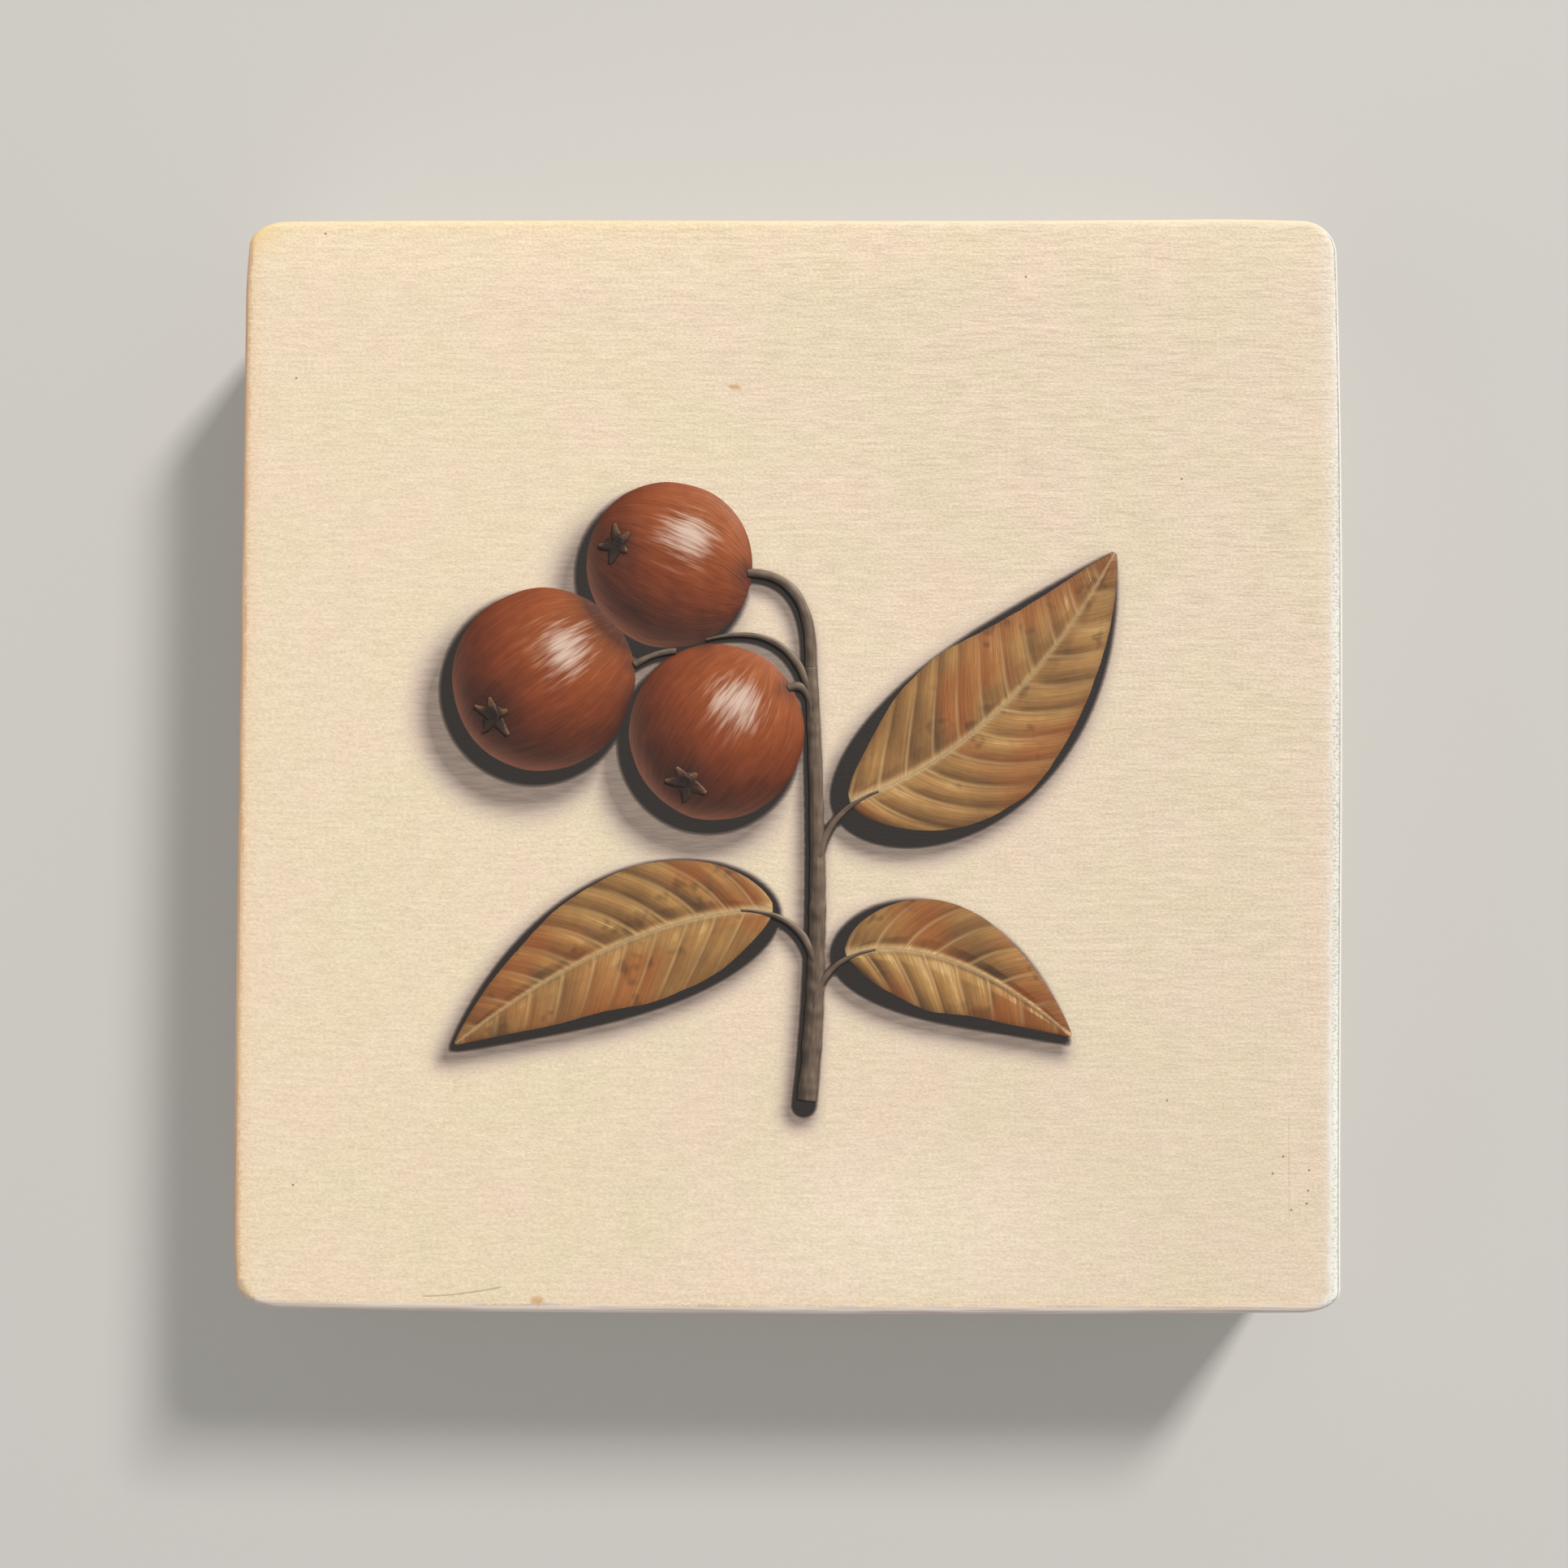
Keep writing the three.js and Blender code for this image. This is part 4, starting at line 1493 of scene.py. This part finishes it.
# %% Paint single strokes
STEM_TONES = [paint(40, 33, 29), paint(78, 64, 53), paint(118, 101, 86), paint(164, 147, 128)]
CROWN_TONES = [paint(34, 23, 19), paint(64, 42, 30), paint(112, 78, 52), paint(150, 114, 80)]
CROWN_POINTS = 5
CROWN_SLANT = 0.72
CROWN_WIDTHS, CROWN_GRID = (0.78, 0.2), (30, 16)
PIT_SIZE, PIT_GRID = 0.12, 20


def brush_stroke(start, bend, end, first, last, along, across):
    """A square grid laid out as one stroke: x, y, the share along it and across it, and its width."""
    grid_along, grid_across = square_grid(along, across)
    share = 0.5 + 0.5 * grid_along
    middle, forward = curve_and_heading(start, bend, end, share)
    uneven = 1 + 0.16 * noise_at(share * math.dist(start, end), 0 * share, 1.7, 1.0, start[0])
    wide = (first + (last - first) * share) * uneven
    x, y = middle[0] - forward[1] * wide * grid_across, middle[1] + forward[0] * wide * grid_across
    return x, y, share, grid_across, wide


def paint_stem(name, start, bend, end, first, last):
    """A woody stem, round in section, with bark that is cracked along it."""
    length = math.dist(start, end)
    x, y, share, across, wide = brush_stroke(start, bend, end, first, last, int(40 + 5 * length), 22)
    form = wide * round_section(across, 0.94) + 0.1 * noise_at(x, y, 0.9, 0.9, first)
    bark = 0.12 * noise_at(across * wide, share * length, 0.22, 1.8, first)
    lit = light_on_form(x, y, form)
    tone = blend_tones(STEM_TONES, np.clip(0.02 + 0.8 * lit + bark, 0, 1))
    glint = np.clip(2.0 * (lit - 0.8) + bark, 0, 1) * 0.6
    strokes = np.stack([share * length, across * wide, 0 * across], axis=-1) + first * 20
    rim = np.maximum(abs(across), abs(2 * share - 1) ** 20)
    height = 0.13 + 0.1 * round_section(across)
    return lay_film(name, [film_patch(x, y, height, rim, tone, glint, strokes)], stem_finish)


def paint_crown(name, middle, radius, crown_degrees):
    """The crown of a berry: short strokes that spread round a dark pit, seen at a slant."""
    crown = np.array(crown_place(middle, radius, crown_degrees))
    outward = np.array([math.cos(math.radians(crown_degrees)), math.sin(math.radians(crown_degrees))])
    sideways = np.array([-outward[1], outward[0]])
    strokes_found = []
    for point in range(CROWN_POINTS):
        turn = 2 * math.pi * (point + 0.3) / CROWN_POINTS
        reach = (0.25 + 0.05 * math.sin(5 * point + radius)) * radius
        tip = crown + reach * (CROWN_SLANT * math.cos(turn) * outward + math.sin(turn) * sideways)
        bend = crown + 0.6 * (tip - crown) + 0.14 * reach * sideways
        strokes_found.append(crown_stroke(crown + 0.3 * (tip - crown), bend, tip, radius + point))
    strokes_found.append(crown_pit(crown, outward, sideways, PIT_SIZE * radius))
    return lay_film("crown_" + name, strokes_found, stem_finish)


def crown_pit(crown, outward, sideways, reach):
    """The dark hollow in the middle of a crown, a flat dab with a soft lighter rim."""
    unit_x, unit_y, rim = disc_grid(PIT_GRID)
    x = crown[0] + reach * (CROWN_SLANT * unit_x * outward[0] + unit_y * sideways[0])
    y = crown[1] + reach * (CROWN_SLANT * unit_x * outward[1] + unit_y * sideways[1])
    tone = blend_tones(CROWN_TONES, 0.4 * np.clip(rim, 0, 1) ** 3)
    strokes = np.stack([unit_x, unit_y, 0 * rim], axis=-1) + reach
    return film_patch(x, y, 0.42 - 0.03 * (1 - rim**2), rim, tone, 0 * rim, strokes)


def crown_stroke(start, bend, end, seed):
    """One short stroke of a crown, broad at its start and blunt at its tip."""
    x, y, share, across, wide = brush_stroke(start, bend, end, *CROWN_WIDTHS, *CROWN_GRID)
    form = wide * round_section(across)
    lit = light_on_form(x, y, form) + 0.2 * noise_at(x, y, 0.5, 0.5, seed)
    tone = blend_tones(CROWN_TONES, np.clip((0.2 + 0.75 * share) * lit, 0, 1))
    glint = np.clip(lit - 0.85, 0, 1)
    strokes = np.stack([share * 3.0, across * wide, 0 * across], axis=-1) + seed
    height = 0.31 + 0.07 * share + 0.06 * round_section(across)
    rim = np.maximum(abs(across), abs(2 * share - 1) ** 8)
    return film_patch(x, y, height, rim, tone, glint, strokes)


stems = [paint_stem(name, *facts) for name, facts in STEMS.items()]
crowns = [paint_crown(name.removeprefix("berry_"), *facts) for name, facts in BERRIES.items()]
print(f"{len(stems)} stems and stalks, {len(crowns)} crowns")

# %% [markdown]
# ## Floor
# The panel lies on its back on a plain pale floor, which only shows its shadow.

# %% Lay the floor
FLOOR_REACH = 2.5
FLOOR_GREY = paint(206, 205, 202)
floor_corners = [(x * FLOOR_REACH, y * FLOOR_REACH, 0.0) for x, y in ((-1, -1), (1, -1), (1, 1), (-1, 1))]
floor_mesh = bpy.data.meshes.new("floor")
floor_mesh.from_pydata(floor_corners, [], [(0, 1, 2, 3)])
floor = bpy.data.objects.new("floor", floor_mesh)
bpy.context.scene.collection.objects.link(floor)
floor_finish, _, floor_shader = new_material("floor")
floor_shader.inputs["Base Color"].default_value = FLOOR_GREY
floor_shader.inputs["Roughness"].default_value = 0.9
floor_mesh.materials.append(floor_finish)
